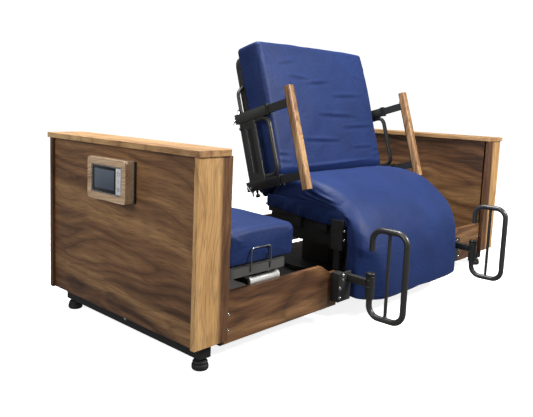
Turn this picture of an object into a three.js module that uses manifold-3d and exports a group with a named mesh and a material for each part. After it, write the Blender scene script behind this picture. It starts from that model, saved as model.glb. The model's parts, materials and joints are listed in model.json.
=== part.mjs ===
// A rotating sit-to-stand bed: two wooden end boards carry a height-adjustable carriage, and a turntable
// on the carriage carries a lifting chair with a back, a seat, a leg rest, arm rests and egress handles.
// Millimetres, +Z up. X runs along the bed from the foot board to the head board and Y across it from the
// side where the user gets out. While the pieces are made, X = 0 is the outer face of the foot board,
// Y = 0 the near edge of the end boards and Z = 0 the floor. The last lines centre the whole on X and Y.

import * as THREE from "three";
import { mergeVertices } from "three/addons/utils/BufferGeometryUtils.js";
import Module from "manifold-3d";

const wasm = await Module();
wasm.setup();

// ---- Driving dimensions -------------------------------------------------------------------------

const GAP = 0.5; // running clearance between touching pieces

const BOARD_WIDTH = 950;
const BOARD_DEPTH = 154;
const BOARD_BOTTOM = 102;
const BOARD_TOP = 749;
const BOARD_SPACING = 2232.5; // outer face of the foot board to inner face of the head board
const PANEL = 20; // thickness of the wooden boards
const CAP_THICKNESS = 22;
const CAP_OVERHANG = 8;

const BED_LENGTH = BOARD_SPACING + BOARD_DEPTH;
const MID_Y = BOARD_WIDTH / 2;

const BEAM = 52; // square steel beam under each end board
const FOOT_INSET = { x: 86, y: 62 };
const FOOT_RADIUS = 30;
const BEAM_BOTTOM = 44;

const FRAME_BOTTOM = 40; // low carriage frame
const FRAME_TOP = 84;
const PAN_THICKNESS = 3;
const PAN_TOP = FRAME_TOP + GAP + PAN_THICKNESS;
const CARRIAGE_START = BOARD_DEPTH + 6;
const CARRIAGE_END = BOARD_SPACING - 6;

const RAIL = { near: 20, thickness: 22, bottom: 80, top: 267, low: 228, chamfer: 62 };
const FAR_RAIL = { inner: 933, outer: 948 }; // set out so that the hanging legs pass it as the chair turns
const OPENING = { start: 820, end: 1856 }; // gap in the near rail where the legs come out

const MATTRESS_WIDTH = 890;
const MATTRESS_CORNER = 100; // round of the leg cushion's outer corners
const PIVOT = { x: 1338, y: MID_Y };
const CHAIR_LEFT = PIVOT.x - MATTRESS_WIDTH / 2;
const CHAIR_RIGHT = PIVOT.x + MATTRESS_WIDTH / 2;

const HINGE_Z = 435; // both chair hinges, 12 under the deck
const DECK_RISE = 12;
const BACK_HINGE_Y = 541;
const BACK_ANGLE = THREE.MathUtils.degToRad(73.3);
const BACK_LENGTH = 776;
const CUSHION_TOP = 170; // front of the back cushion above its hinge plane
const KNEE_HINGE_Y = 44;
const SEAT_TOP = 602;
const LEG_LENGTH = 335;
const LEG_CUSHION_TOP = 145;

const HANDLE = { offset: 488, y: -125, tube: 12.5, reach: 158, top: 433, bottom: 66, end: 340, bend: 48 };
const SLEEVE = { outer: 19, bottom: 137, top: 235 };

const ARM = { offset: 496, upper: 423, lower: 88, wide: 26, tall: 46, wall: 3, start: 12, end: 190 };
const GRIP = { length: 475, wide: 40, deep: 36, start: 20, rise: 322 };

// ---- Materials ----------------------------------------------------------------------------------

const finish = (color, roughness, metalness) => ({ color, roughness, metalness });
const WALNUT = finish(0x7a4f2e, 0.5, 0);
const PALE_WALNUT = finish(0xa9754a, 0.5, 0);
const CHARCOAL = finish(0x46463f, 0.5, 0.5);
const BLACK_STEEL = finish(0x151515, 0.6, 0.4);
const RUBBER = finish(0x101010, 0.8, 0);
const WHITE_PLASTIC = finish(0xf2f2f0, 0.4, 0);
const BLUE_FABRIC = finish(0x23356f, 0.8, 0);
const GLASS = finish(0x08090b, 0.1, 0);
const ZINC = finish(0xb9bcc0, 0.35, 1);

// ---- Solid helpers ------------------------------------------------------------------------------

function solid(geometry) {
  const bare = geometry.index ? geometry.toNonIndexed() : geometry.clone();
  bare.deleteAttribute("normal");
  bare.deleteAttribute("uv");
  const merged = mergeVertices(bare, 1e-3);
  const vertProperties = merged.attributes.position.array;
  const triVerts = new Uint32Array(merged.index.array);
  return new wasm.Manifold(new wasm.Mesh({ numProp: 3, vertProperties, triVerts }));
}

function geometryOf(body) {
  const mesh = body.getMesh();
  const geometry = new THREE.BufferGeometry();
  geometry.setAttribute("position", new THREE.BufferAttribute(mesh.vertProperties, 3));
  geometry.setIndex(new THREE.BufferAttribute(mesh.triVerts, 1));
  const flat = geometry.toNonIndexed();
  flat.computeVertexNormals();
  return flat;
}

function join(...geometries) {
  return geometryOf(geometries.map(solid).reduce((whole, piece) => whole.add(piece)));
}

function cut(geometry, ...tools) {
  return geometryOf(tools.map(solid).reduce((whole, tool) => whole.subtract(tool), solid(geometry)));
}

function box(x0, x1, y0, y1, z0, z1) {
  const geometry = new THREE.BoxGeometry(x1 - x0, y1 - y0, z1 - z0);
  return geometry.translate((x0 + x1) / 2, (y0 + y1) / 2, (z0 + z1) / 2);
}

// A flat outline of [across, up] points pulled along X from x0 to x1; across is Y and up is Z.
function slabAlongX(outline, x0, x1) {
  const shape = new THREE.Shape(outline.map(([across, up]) => new THREE.Vector2(across, up)));
  const geometry = new THREE.ExtrudeGeometry(shape, { depth: x1 - x0, bevelEnabled: false });
  const toYZ = new THREE.Matrix4().makeBasis(
    new THREE.Vector3(0, 1, 0),
    new THREE.Vector3(0, 0, 1),
    new THREE.Vector3(1, 0, 0),
  );
  return geometry.applyMatrix4(toYZ).translate(x0, 0, 0);
}

// A flat outline of [x, z] points pulled along Y from y0 to y1.
function slabAlongY(outline, y0, y1) {
  const shape = new THREE.Shape(outline.map(([x, z]) => new THREE.Vector2(x, z)));
  const geometry = new THREE.ExtrudeGeometry(shape, { depth: y1 - y0, bevelEnabled: false });
  return geometry.rotateX(Math.PI / 2).translate(0, y1, 0);
}

// A flat outline of [x, y] points pulled up from z0 to z1.
function slabAlongZ(outline, z0, z1) {
  const shape = new THREE.Shape(outline.map(([x, y]) => new THREE.Vector2(x, y)));
  const geometry = new THREE.ExtrudeGeometry(shape, { depth: z1 - z0, bevelEnabled: false });
  return geometry.translate(0, 0, z0);
}

// A turned piece: [radius, height] points, closed on themselves or on the axis, about a vertical axis.
function turned(profile, x, y, segments = 24) {
  const points = profile.map(([radius, height]) => new THREE.Vector2(radius, height));
  return new THREE.LatheGeometry(points, segments).rotateX(Math.PI / 2).translate(x, y, 0);
}

// A round bar that follows corner points, each inner corner rounded with a bend.
function bar(corners, radius, bend, steps, sides = 10) {
  const points = corners.map((corner) => new THREE.Vector3(...corner));
  const path = new THREE.CurvePath();
  let from = points[0];
  for (let i = 1; i < points.length - 1; i++) {
    const corner = points[i];
    const before = corner.clone().addScaledVector(points[i - 1].clone().sub(corner).normalize(), bend);
    const after = corner.clone().addScaledVector(points[i + 1].clone().sub(corner).normalize(), bend);
    path.add(new THREE.LineCurve3(from, before));
    path.add(new THREE.QuadraticBezierCurve3(before, corner, after));
    from = after;
  }
  path.add(new THREE.LineCurve3(from, points.at(-1)));
  const circle = new THREE.Shape();
  for (let i = 0; i < sides; i++) {
    const turn = (2 * Math.PI * i) / sides;
    const at = [radius * Math.cos(turn), radius * Math.sin(turn)];
    i === 0 ? circle.moveTo(...at) : circle.lineTo(...at);
  }
  return new THREE.ExtrudeGeometry(circle, { steps, extrudePath: path, bevelEnabled: false });
}

// ---- Assembly -----------------------------------------------------------------------------------

const assembly = new THREE.Group();

function add(name, geometry, look, parent = assembly) {
  const mesh = new THREE.Mesh(geometry, new THREE.MeshStandardMaterial(look));
  mesh.name = name;
  parent.add(mesh);
  return mesh;
}

// ---- End boards ---------------------------------------------------------------------------------

const SLOT = 14; // slot beside the inner panel, where the carriage arms come through
const RECESS = 12; // how far the outer panel sits back from the side boards' edges

// outer is the X of the board's outer face and inward the direction of the bed's middle.
function endBoard(prefix, outer, inward) {
  const span = (from, to) => [outer + inward * from, outer + inward * to].sort((a, b) => a - b);
  const side = (y0, y1) => box(...span(0, BOARD_DEPTH), y0, y1, BOARD_BOTTOM, BOARD_TOP);
  add(`${prefix}_near_side`, side(0, PANEL), PALE_WALNUT);
  add(`${prefix}_far_side`, side(BOARD_WIDTH - PANEL, BOARD_WIDTH), PALE_WALNUT);
  const panel = (from, inset) =>
    box(...span(from, from + PANEL - 2), inset, BOARD_WIDTH - inset, BOARD_BOTTOM, BOARD_TOP - GAP);
  add(`${prefix}_outer_panel`, panel(RECESS, PANEL + GAP), WALNUT);
  add(`${prefix}_inner_panel`, panel(BOARD_DEPTH - RECESS - PANEL, PANEL + SLOT), WALNUT);
  const [near, far] = [-CAP_OVERHANG, BOARD_WIDTH + CAP_OVERHANG];
  const at = (distance) => outer + inward * distance;
  const clip = 24;
  const inner = BOARD_DEPTH + CAP_OVERHANG;
  const outline = [
    [at(-CAP_OVERHANG), near],
    [at(inner - clip), near],
    [at(inner), near + clip],
    [at(inner), far - clip],
    [at(inner - clip), far],
    [at(-CAP_OVERHANG), far],
  ];
  add(`${prefix}_cap`, slabAlongZ(outline, BOARD_TOP + GAP, BOARD_TOP + CAP_THICKNESS), PALE_WALNUT);
}

endBoard("footboard", 0, 1);
endBoard("headboard", BED_LENGTH, -1);

// ---- Steel base: a beam and two corner posts under each board, a spine and four feet -----------

function baseBeam(name, x) {
  const beam = box(x - BEAM / 2, x + BEAM / 2, 36, BOARD_WIDTH - 36, BEAM_BOTTOM, BOARD_BOTTOM - GAP);
  const boltHole = new THREE.CylinderGeometry(5, 5, BEAM + 10, 12).rotateZ(Math.PI / 2);
  const holes = [150, BOARD_WIDTH - 150].map((y) => boltHole.clone().translate(x, y, 72));
  add(name, cut(beam, ...holes), BLACK_STEEL);
}

const BEAM_X = [FOOT_INSET.x, BED_LENGTH - FOOT_INSET.x];
baseBeam("foot_base_beam", BEAM_X[0]);
baseBeam("head_base_beam", BEAM_X[1]);
const BEAM_FACE = BEAM / 2 + GAP;
const SPINE = { start: BEAM_X[0] + BEAM_FACE, end: BEAM_X[1] - BEAM_FACE, half: 30, bottom: 12, top: 36 };
const LUG = { thick: 9, top: 96 };
const spinePiece = (x0, x1, top) => box(x0, x1, MID_Y - SPINE.half, MID_Y + SPINE.half, SPINE.bottom, top);
const spineLugs = [
  spinePiece(SPINE.start, SPINE.start + LUG.thick, LUG.top),
  spinePiece(SPINE.end - LUG.thick, SPINE.end, LUG.top),
];
add("base_spine", join(spinePiece(SPINE.start, SPINE.end, SPINE.top), ...spineLugs), BLACK_STEEL);

function levellingFoot(name, x, y) {
  const profile = [
    [0, 0],
    [FOOT_RADIUS - 4, 0],
    [FOOT_RADIUS, 5],
    [FOOT_RADIUS, 20],
    [FOOT_RADIUS - 8, 27],
    [12, 29],
    [12, BEAM_BOTTOM - GAP],
    [0, BEAM_BOTTOM - GAP],
  ];
  add(name, turned(profile, x, y, 16), RUBBER);
}

const footPlaces = BEAM_X.flatMap((x) => [FOOT_INSET.y, BOARD_WIDTH - FOOT_INSET.y].map((y) => [x, y]));
footPlaces.forEach(([x, y], index) => levellingFoot(`levelling_foot_${index + 1}`, x, y));

// ---- Lift units inside the boards: two columns on a foot plate, joined at the top ---------------

const COLUMN = { inset: 44, wide: 40, deep: 36 };

function liftUnit(name, x) {
  const column = (y) =>
    box(x - COLUMN.deep / 2, x + COLUMN.deep / 2, y, y + COLUMN.wide, BOARD_BOTTOM, BOARD_TOP - 40);
  const tie = box(x - 14, x + 14, COLUMN.inset, BOARD_WIDTH - COLUMN.inset, BOARD_TOP - 68, BOARD_TOP - 40);
  const farColumn = BOARD_WIDTH - COLUMN.inset - COLUMN.wide;
  add(name, join(column(COLUMN.inset), column(farColumn), tie), ZINC);
}

liftUnit("foot_lift_unit", BEAM_X[0]);
liftUnit("head_lift_unit", BEAM_X[1]);

// ---- Touch screen on the foot board -------------------------------------------------------------

const SCREEN = { near: 352, far: 600, bottom: 546, top: 704, front: -34, wall: 26 };

function roundedOutline(x0, x1, y0, y1, radius, segments = 4) {
  const centres = [
    [x1 - radius, y0 + radius, -90],
    [x1 - radius, y1 - radius, 0],
    [x0 + radius, y1 - radius, 90],
    [x0 + radius, y0 + radius, 180],
  ];
  const points = [];
  for (const [x, y, start] of centres)
    for (let i = 0; i <= segments; i++) {
      const turn = THREE.MathUtils.degToRad(start + (90 * i) / segments);
      points.push([x + radius * Math.cos(turn), y + radius * Math.sin(turn)]);
    }
  return points;
}

function touchScreen() {
  const { near, far, bottom, top, front, wall } = SCREEN;
  const block = slabAlongX(roundedOutline(near, far, bottom, top, 14), front, RECESS - GAP);
  const window = box(front - 1, front + 10, near + wall, far - wall, bottom + wall, top - wall);
  add("screen_housing", cut(block, window), PALE_WALNUT);
  const glass = [near + wall + GAP, far - wall - GAP, bottom + wall + GAP, top - wall - GAP];
  add("screen_glass", box(front + 3, front + 10 - GAP, ...glass), GLASS);
}

touchScreen();

// ---- Carriage: low frame, pan, wooden rails -----------------------------------------------------

const LONG_MEMBER_Y = [150, 190];

function mirrorY(y) {
  return BOARD_WIDTH - y;
}

const CHANNEL = 40; // width of the frame's bars, which are channels open below
const CHANNEL_WALL = 4;
const OUTRIGGER_X = [CARRIAGE_START, 740, 1896, CARRIAGE_END - CHANNEL];
const CROSS_X = [...OUTRIGGER_X, PIVOT.x - 230, PIVOT.x + 190];
const POST_TOP = 215;

function carriageFrame() {
  const pieces = [];
  const hollows = [];
  const [memberNear, memberFar] = LONG_MEMBER_Y;
  const channel = (x0, x1, y0, y1) => {
    const wall = CHANNEL_WALL;
    pieces.push(box(x0, x1, y0, y1, FRAME_BOTTOM, FRAME_TOP));
    hollows.push(box(x0 + wall, x1 - wall, y0 + wall, y1 - wall, FRAME_BOTTOM - 1, FRAME_TOP - wall));
  };
  channel(CARRIAGE_START, CARRIAGE_END, memberNear, memberFar);
  channel(CARRIAGE_START, CARRIAGE_END, mirrorY(memberFar), mirrorY(memberNear));
  for (const x of CROSS_X) channel(x, x + CHANNEL, 110, mirrorY(110));
  // outriggers and the posts on them that carry the wooden rails
  const outriggers = [];
  for (const x of OUTRIGGER_X)
    for (const [y0, y1, postY] of [
      [43, 112, 43],
      [mirrorY(112), mirrorY(43), mirrorY(83)],
    ]) {
      outriggers.push(box(x, x + CHANNEL, y0, y1, FRAME_TOP - 17, FRAME_TOP));
      outriggers.push(box(x, x + CHANNEL, postY, postY + 40, FRAME_TOP - 17, POST_TOP));
    }
  for (const x of OUTRIGGER_X)
    outriggers.push(box(x, x + CHANNEL, mirrorY(44), FAR_RAIL.inner - GAP, 130, 200));
  // arms that reach through the slots of the end boards and slide along the lift columns
  const reach = (x, toward) => [x, toward].sort((a, b) => a - b);
  for (const [x, toward] of [
    [BEAM_X[0] - 18, CARRIAGE_START + 20],
    [BEAM_X[1] + 18, CARRIAGE_END - 20],
  ]) {
    pieces.push(box(...reach(x, toward), 23, 31, 120, 200));
    pieces.push(box(...reach(x, toward), mirrorY(31), mirrorY(23), 120, 200));
  }
  // slider blocks that bear on the columns
  for (const x of BEAM_X) {
    const [inner, outer] = [COLUMN.inset - GAP, 30];
    pieces.push(box(x - 18, x + 18, outer, inner, 120, 200));
    pieces.push(box(x - 18, x + 18, mirrorY(inner), mirrorY(outer), 120, 200));
  }
  // end plates that tie the arms to the corner posts
  for (const x of [CARRIAGE_START, CARRIAGE_END - 8]) {
    pieces.push(box(x, x + 8, 23, 60, 110, POST_TOP));
    pieces.push(box(x, x + 8, mirrorY(60), mirrorY(23), 110, POST_TOP));
  }
  const channels = cut(join(...pieces), ...hollows);
  add("carriage_frame", join(channels, ...outriggers), BLACK_STEEL);
}

carriageFrame();

const panEdge = 86;
add(
  "floor_pan",
  box(CARRIAGE_START + 2, CARRIAGE_END - 2, panEdge, mirrorY(panEdge), FRAME_TOP + GAP, PAN_TOP),
  CHARCOAL,
);

const NOTCH = 26; // length of the hollow at a rail's end

// The near rail steps down beside the opening; start is its end at the board and stop the one at the opening.
function nearRail(name, start, stop) {
  const inward = Math.sign(stop - start);
  const step = stop - inward * 50;
  const outline = [
    [start, RAIL.bottom],
    [stop, RAIL.bottom],
    [stop, RAIL.low],
    [step, RAIL.low],
    [step - inward * RAIL.chamfer, RAIL.top],
    [start, RAIL.top],
  ];
  const board = slabAlongY(outline, RAIL.near, RAIL.near + RAIL.thickness);
  // notch round the carriage's end plate and arm
  const notch = [start - inward, start + inward * NOTCH].sort((a, b) => a - b);
  add(name, cut(board, box(...notch, RAIL.near + 2, RAIL.near + 30, 105, 220)), WALNUT);
}

nearRail("near_rail_foot", CARRIAGE_START - 4, OPENING.start);
nearRail("near_rail_head", CARRIAGE_END + 4, OPENING.end);

const farBoard = [CARRIAGE_START - 4, CARRIAGE_END + 4, FAR_RAIL.inner, FAR_RAIL.outer];
add("far_rail", box(...farBoard, RAIL.bottom, RAIL.top), WALNUT);

// ---- Fixed foot section -------------------------------------------------------------------------

const DECK = { start: 172, end: 487, near: 22, bottom: 310, top: 343 };
const POST_Y = 130;
const FOOT_CUSHION = { start: 176, end: 535, near: 30, top: 490 };

function footSection() {
  const plan = roundedOutline(DECK.start, DECK.end, DECK.near, mirrorY(DECK.near), 30);
  const rim = 26;
  const across = [DECK.near + rim, mirrorY(DECK.near + rim)];
  const inner = box(DECK.start + rim, DECK.end - rim, ...across, DECK.bottom - 1, DECK.top - 3);
  const tray = cut(slabAlongZ(plan, DECK.bottom, DECK.top), inner);
  const under = DECK.top - 2;
  const posts = [];
  const rungs = [];
  for (const y of [POST_Y, mirrorY(POST_Y + 40)]) {
    rungs.push(box(DECK.start + 10, DECK.end - 10, y, y + 40, DECK.bottom, under));
    for (const x of [DECK.start + 20, DECK.end - 60])
      posts.push(box(x, x + 40, y, y + 40, PAN_TOP + GAP, under));
  }
  add("foot_deck_frame", join(tray, ...posts, ...rungs), CHARCOAL);
  const { start, end, near, top } = FOOT_CUSHION;
  const outline = roundedOutline(start, end, near, mirrorY(near), 30, 2);
  add("foot_mattress", slabAlongZ(outline, DECK.top + GAP, top), BLUE_FABRIC);
  const retainerY = DECK.near - 3.3;
  const legs = [
    [281, retainerY, DECK.top - 20],
    [281, retainerY, 408],
    [386, retainerY, 408],
    [386, retainerY, DECK.top - 20],
  ];
  add("mattress_retainer", bar(legs, 3, 14, 30, 8), ZINC);
}

footSection();

// ---- Guide roller under the foot section's edge -------------------------------------------------

const ROLLER = { start: 308, end: 473, y: 62, z: 272, radius: 17, bore: 6.5 };

function guideRoller() {
  const { start, end, y, z, radius, bore } = ROLLER;
  const flange = radius + 1.5;
  const profile = [
    [bore, start],
    [flange, start],
    [flange, start + 14],
    [radius - 1.5, start + 16],
    [radius - 1.5, end - 8],
    [radius, end - 6],
    [radius, end],
    [bore, end],
    [bore, start],
  ];
  const points = profile.map(([r, along]) => new THREE.Vector2(r, along));
  const tube = new THREE.LatheGeometry(points, 20).rotateZ(-Math.PI / 2).translate(0, y, z);
  add("guide_roller", tube, WHITE_PLASTIC);
  const axle = new THREE.CylinderGeometry(bore - GAP, bore - GAP, end - start + 20, 12);
  axle.rotateZ(Math.PI / 2).translate((start + end) / 2, y, z);
  const ear = (x) => box(x, x + 5, y - 9, y + 60, z - 9, z + 9);
  const bridge = box(start - 8, end + 8, y + 40, y + 60, z - 9, z + 9);
  const hanger = box(start + 40, start + 80, y + 40, y + 60, z, DECK.bottom - GAP);
  const bracket = join(axle, ear(start - 8), ear(end + 3), bridge, hanger);
  add("roller_bracket", bracket, BLACK_STEEL);
}

guideRoller();

// ---- Turntable and seat lift column -------------------------------------------------------------

const TABLE = { bottom: PAN_TOP + GAP, ring: 10, plate: 8, radius: 240 };
const TABLE_PLATE = TABLE.bottom + TABLE.ring + GAP;

function turntable() {
  const { bottom, ring, plate, radius } = TABLE;
  const ringProfile = [
    [radius - 60, bottom],
    [radius, bottom],
    [radius, bottom + ring],
    [radius - 60, bottom + ring],
    [radius - 60, bottom],
  ];
  add("turntable_base", turned(ringProfile, PIVOT.x, PIVOT.y, 32), ZINC);
  const plateTop = TABLE_PLATE + plate;
  const plateProfile = [
    [0, TABLE_PLATE],
    [radius + 8, TABLE_PLATE],
    [radius + 8, plateTop],
    [0, plateTop],
  ];
  add("turntable_plate", turned(plateProfile, PIVOT.x, PIVOT.y, 32), BLACK_STEEL);
  const half = 85;
  const bottomZ = plateTop + GAP;
  const around = (h) => [PIVOT.x - h, PIVOT.x + h, PIVOT.y - h, PIVOT.y + h];
  const outer = box(...around(half), bottomZ, 345);
  add("lift_column_outer", cut(outer, box(...around(half - 6), bottomZ + 6, 346)), CHARCOAL);
  const inner = box(...around(half - 7), bottomZ + 20, 398);
  add("lift_column_inner", cut(inner, box(...around(half - 13), bottomZ + 19, 390)), BLACK_STEEL);
}

turntable();

// ---- Seat ---------------------------------------------------------------------------------------

const SEAT_FRAME = { near: 62, far: 520, bottom: 402, top: HINGE_Z + DECK_RISE - 1 };

function seatFrame() {
  const { near, far, bottom, top } = SEAT_FRAME;
  const tube = top - bottom - 8;
  const [left, right] = [CHAIR_LEFT + 8, CHAIR_RIGHT - 8];
  const rim = roundedOutline(left, right, near, far, 36);
  const ring = slabAlongZ(rim, top - tube, top);
  const hollow = box(left + 32, right - 32, near + 32, far - 32, top - tube - 1, top - 2);
  const deck = cut(ring, hollow);
  const head = box(PIVOT.x - 110, PIVOT.x + 110, near + 10, far - 10, bottom - 3, top - tube + 4);
  const crossTubes = [150, 300].map((y) => box(left + 2, right - 2, y, y + 60, bottom - 40, bottom + 6));
  const cornerPosts = [];
  for (const [x, edge] of [
    [left - 20, left + 10],
    [right - 10, right + 20],
  ]) {
    cornerPosts.push(box(x, edge, near - 14, near + 46, 300, top - 14));
    cornerPosts.push(box(x + 6, edge - 6, near + 2, near + 32, 212, 305));
  }
  // lugs that carry the two hinge pins
  const lugs = [];
  for (const x of [left + 60, right - 72]) {
    lugs.push(box(x, x + 12, far - 12, BACK_HINGE_Y + 9, HINGE_Z - 9, HINGE_Z + 9));
    lugs.push(box(x, x + 12, KNEE_HINGE_Y - 9, near + 12, HINGE_Z - 9, HINGE_Z + 9));
  }
  // side plates that shield the linkage under the seat
  const sidePlates = [left + 24, right - 30].map((x) => box(x, x + 6, 110, far - 20, 300, top - tube + 2));
  const frame = join(deck, head, ...crossTubes, ...cornerPosts, ...lugs, ...sidePlates);
  const bores = [BACK_HINGE_Y, KNEE_HINGE_Y].map((y) => pinAt(y, PIN_RADIUS + 0.3, 20));
  add("seat_frame", cut(frame, ...bores), CHARCOAL);
}

const PIN_RADIUS = 5;
const PIN_HALF = 410;

function pinAt(y, radius, extra = 0) {
  const pin = new THREE.CylinderGeometry(radius, radius, 2 * (PIN_HALF + extra), 12);
  return pin.rotateZ(Math.PI / 2).translate(PIVOT.x, y, HINGE_Z);
}

seatFrame();
add("back_hinge_pin", pinAt(BACK_HINGE_Y, PIN_RADIUS), ZINC);
add("knee_hinge_pin", pinAt(KNEE_HINGE_Y, PIN_RADIUS), ZINC);

const DECK_Z = HINGE_Z + DECK_RISE;
const seatOutline = [
  [KNEE_HINGE_Y + 6, DECK_Z + 3],
  [516, DECK_Z + 3],
  [405, SEAT_TOP],
  [KNEE_HINGE_Y + 6, SEAT_TOP],
];
add("seat_mattress", slabAlongX(seatOutline, CHAIR_LEFT, CHAIR_RIGHT), BLUE_FABRIC);

// ---- Back ---------------------------------------------------------------------------------------

// The back's own frame: X across, Y up the back from the hinge, Z out of its deck towards the sitter.
const back = new THREE.Group();
back.position.set(PIVOT.x, BACK_HINGE_Y, HINGE_Z);
back.rotation.x = BACK_ANGLE;
assembly.add(back);

const HALF_WIDTH = MATTRESS_WIDTH / 2;

// two hinge lugs beside the seat's own, each round its pin; length points away from the hinge
function hingeLugs(side, length) {
  const along = [-9 * side, length * side].sort((a, b) => a - b);
  return [-HALF_WIDTH + 84, HALF_WIDTH - 96].map((x) => box(x, x + 12, ...along, -9, 9));
}

const BORE_RADIUS = PIN_RADIUS + 0.4;
const hingeBore = new THREE.CylinderGeometry(BORE_RADIUS, BORE_RADIUS, 2 * PIN_HALF + 40, 12);
hingeBore.rotateZ(Math.PI / 2);

function backFrame() {
  const [bottom, top] = [-20, DECK_RISE];
  const plan = roundedOutline(-HALF_WIDTH + 10, HALF_WIDTH - 10, 42, BACK_LENGTH - 24, 60);
  const inner = box(-HALF_WIDTH + 42, HALF_WIDTH - 42, 74, BACK_LENGTH - 56, bottom - 1, top - 3);
  const ribs = [250, 480].map((y) => box(-HALF_WIDTH + 20, HALF_WIDTH - 20, y, y + 36, bottom, top - 2));
  const tray = cut(slabAlongZ(plan, bottom, top), inner);
  // ears that the arm brackets are clamped to
  const ears = [];
  for (const side of [-1, 1])
    for (const y of [ARM.lower, ARM.upper]) {
      const reach = [HALF_WIDTH - 20, ARM.offset - ARM.wide / 2 - GAP];
      const across = reach.map((x) => side * x).sort((a, b) => a - b);
      ears.push(box(...across, y - 18, y + 18, -16, 4));
    }
  const frame = join(tray, ...ribs, ...ears, ...hingeLugs(1, 60));
  add("back_frame", cut(frame, hingeBore), CHARCOAL, back);
}

backFrame();

const backOutline = [
  [24, DECK_RISE + 3],
  [BACK_LENGTH, DECK_RISE + 3],
  [BACK_LENGTH, CUSHION_TOP],
  [132, CUSHION_TOP],
];
add("back_mattress", slabAlongX(backOutline, -HALF_WIDTH, HALF_WIDTH), BLUE_FABRIC, back);

// ---- Arm rests ----------------------------------------------------------------------------------

const LOOP_RADIUS = 11;

function armBracket(prefix, side) {
  const x = side * ARM.offset;
  const [x0, x1] = [x - ARM.wide / 2, x + ARM.wide / 2];
  const { upper, lower, tall, wall, start, end } = ARM;
  const tubes = [lower, upper].map((y) => box(x0, x1, y - tall / 2, y + tall / 2, start - 28, end));
  const hole = (y) => box(x0 + wall, x1 - wall, y - tall / 2 + wall, y + tall / 2 - wall, start + 8, end + 1);
  const plate = box(x0 + 8, x1 - 8, lower, upper, start - 12, start + 88);
  const slot = box(x0, x1, lower + 60, upper - 60, start + 26, start + 60);
  const under = tall / 2 + LOOP_RADIUS - wall;
  const loop = bar(
    [
      [x, lower + under, end - 80],
      [x, lower + under, end - 2],
      [x, upper - under, end - 2],
      [x, upper - under, end - 80],
    ],
    LOOP_RADIUS,
    42,
    28,
  );
  const welded = join(...tubes, plate, loop);
  add(`${prefix}_arm_bracket`, cut(welded, slot, hole(lower), hole(upper)), CHARCOAL, back);
}

const FORK = { wide: 18.5, tall: 37.5, start: 84 };

function armRest(prefix, side) {
  const x = side * ARM.offset;
  const { upper, lower, tall, wide, end } = ARM;
  const ring = (y, half, halfTall, z0, z1) => box(x - half, x + half, y - halfTall, y + halfTall, z0, z1);
  for (const [place, y] of [
    ["lower", lower],
    ["upper", upper],
  ]) {
    const rim = ring(y, wide / 2 + 3, tall / 2 + 3, end + GAP, end + 14);
    const hole = ring(y, FORK.wide / 2 + GAP, FORK.tall / 2 + GAP, end, end + 15);
    add(`${prefix}_arm_collar_${place}`, cut(rim, hole), RUBBER, back);
  }
  const strap = box(x - 9, x + 9, lower - 30, upper + 30, GRIP.rise - 6, GRIP.rise - GAP);
  const tine = (y) => ring(y, FORK.wide / 2, FORK.tall / 2, FORK.start, GRIP.rise - 5);
  add(`${prefix}_arm_fork`, join(strap, tine(lower), tine(upper)), CHARCOAL, back);
  const half = GRIP.wide / 2;
  const rounded = roundedOutline(x - half, x + half, GRIP.rise, GRIP.rise + GRIP.deep, 9, 3);
  add(`${prefix}_arm_grip`, slabAlongY(rounded, GRIP.start, GRIP.start + GRIP.length), PALE_WALNUT, back);
}

for (const [prefix, side] of [
  ["left", -1],
  ["right", 1],
]) {
  armBracket(prefix, side);
  armRest(prefix, side);
}

// ---- Leg rest -----------------------------------------------------------------------------------

// The leg rest's own frame: -Y down the leg from the knee hinge, Z out of its deck. It hangs down here.
const leg = new THREE.Group();
leg.position.set(PIVOT.x, KNEE_HINGE_Y, HINGE_Z);
leg.rotation.x = Math.PI / 2;
assembly.add(leg);

function legFrame() {
  const [bottom, top] = [-20, DECK_RISE];
  const half = HALF_WIDTH - 45;
  const plan = roundedOutline(-half, half, -LEG_LENGTH + 10, -40, 30);
  const inner = box(-half + 30, half - 30, -LEG_LENGTH + 40, -70, bottom - 1, top - 3);
  const tray = cut(slabAlongZ(plan, bottom, top), inner);
  add("leg_frame", cut(join(tray, ...hingeLugs(-1, 60)), hingeBore), CHARCOAL, leg);
}

legFrame();

const legOutline = [
  [-HALF_WIDTH, DECK_RISE + 3],
  [HALF_WIDTH, DECK_RISE + 3],
  [HALF_WIDTH, LEG_CUSHION_TOP - MATTRESS_CORNER],
  [HALF_WIDTH - MATTRESS_CORNER, LEG_CUSHION_TOP],
  [-HALF_WIDTH + MATTRESS_CORNER, LEG_CUSHION_TOP],
  [-HALF_WIDTH, LEG_CUSHION_TOP - MATTRESS_CORNER],
];
add("leg_mattress", slabAlongY(legOutline, -LEG_LENGTH, -8), BLUE_FABRIC, leg);

// ---- Egress handles -----------------------------------------------------------------------------

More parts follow.
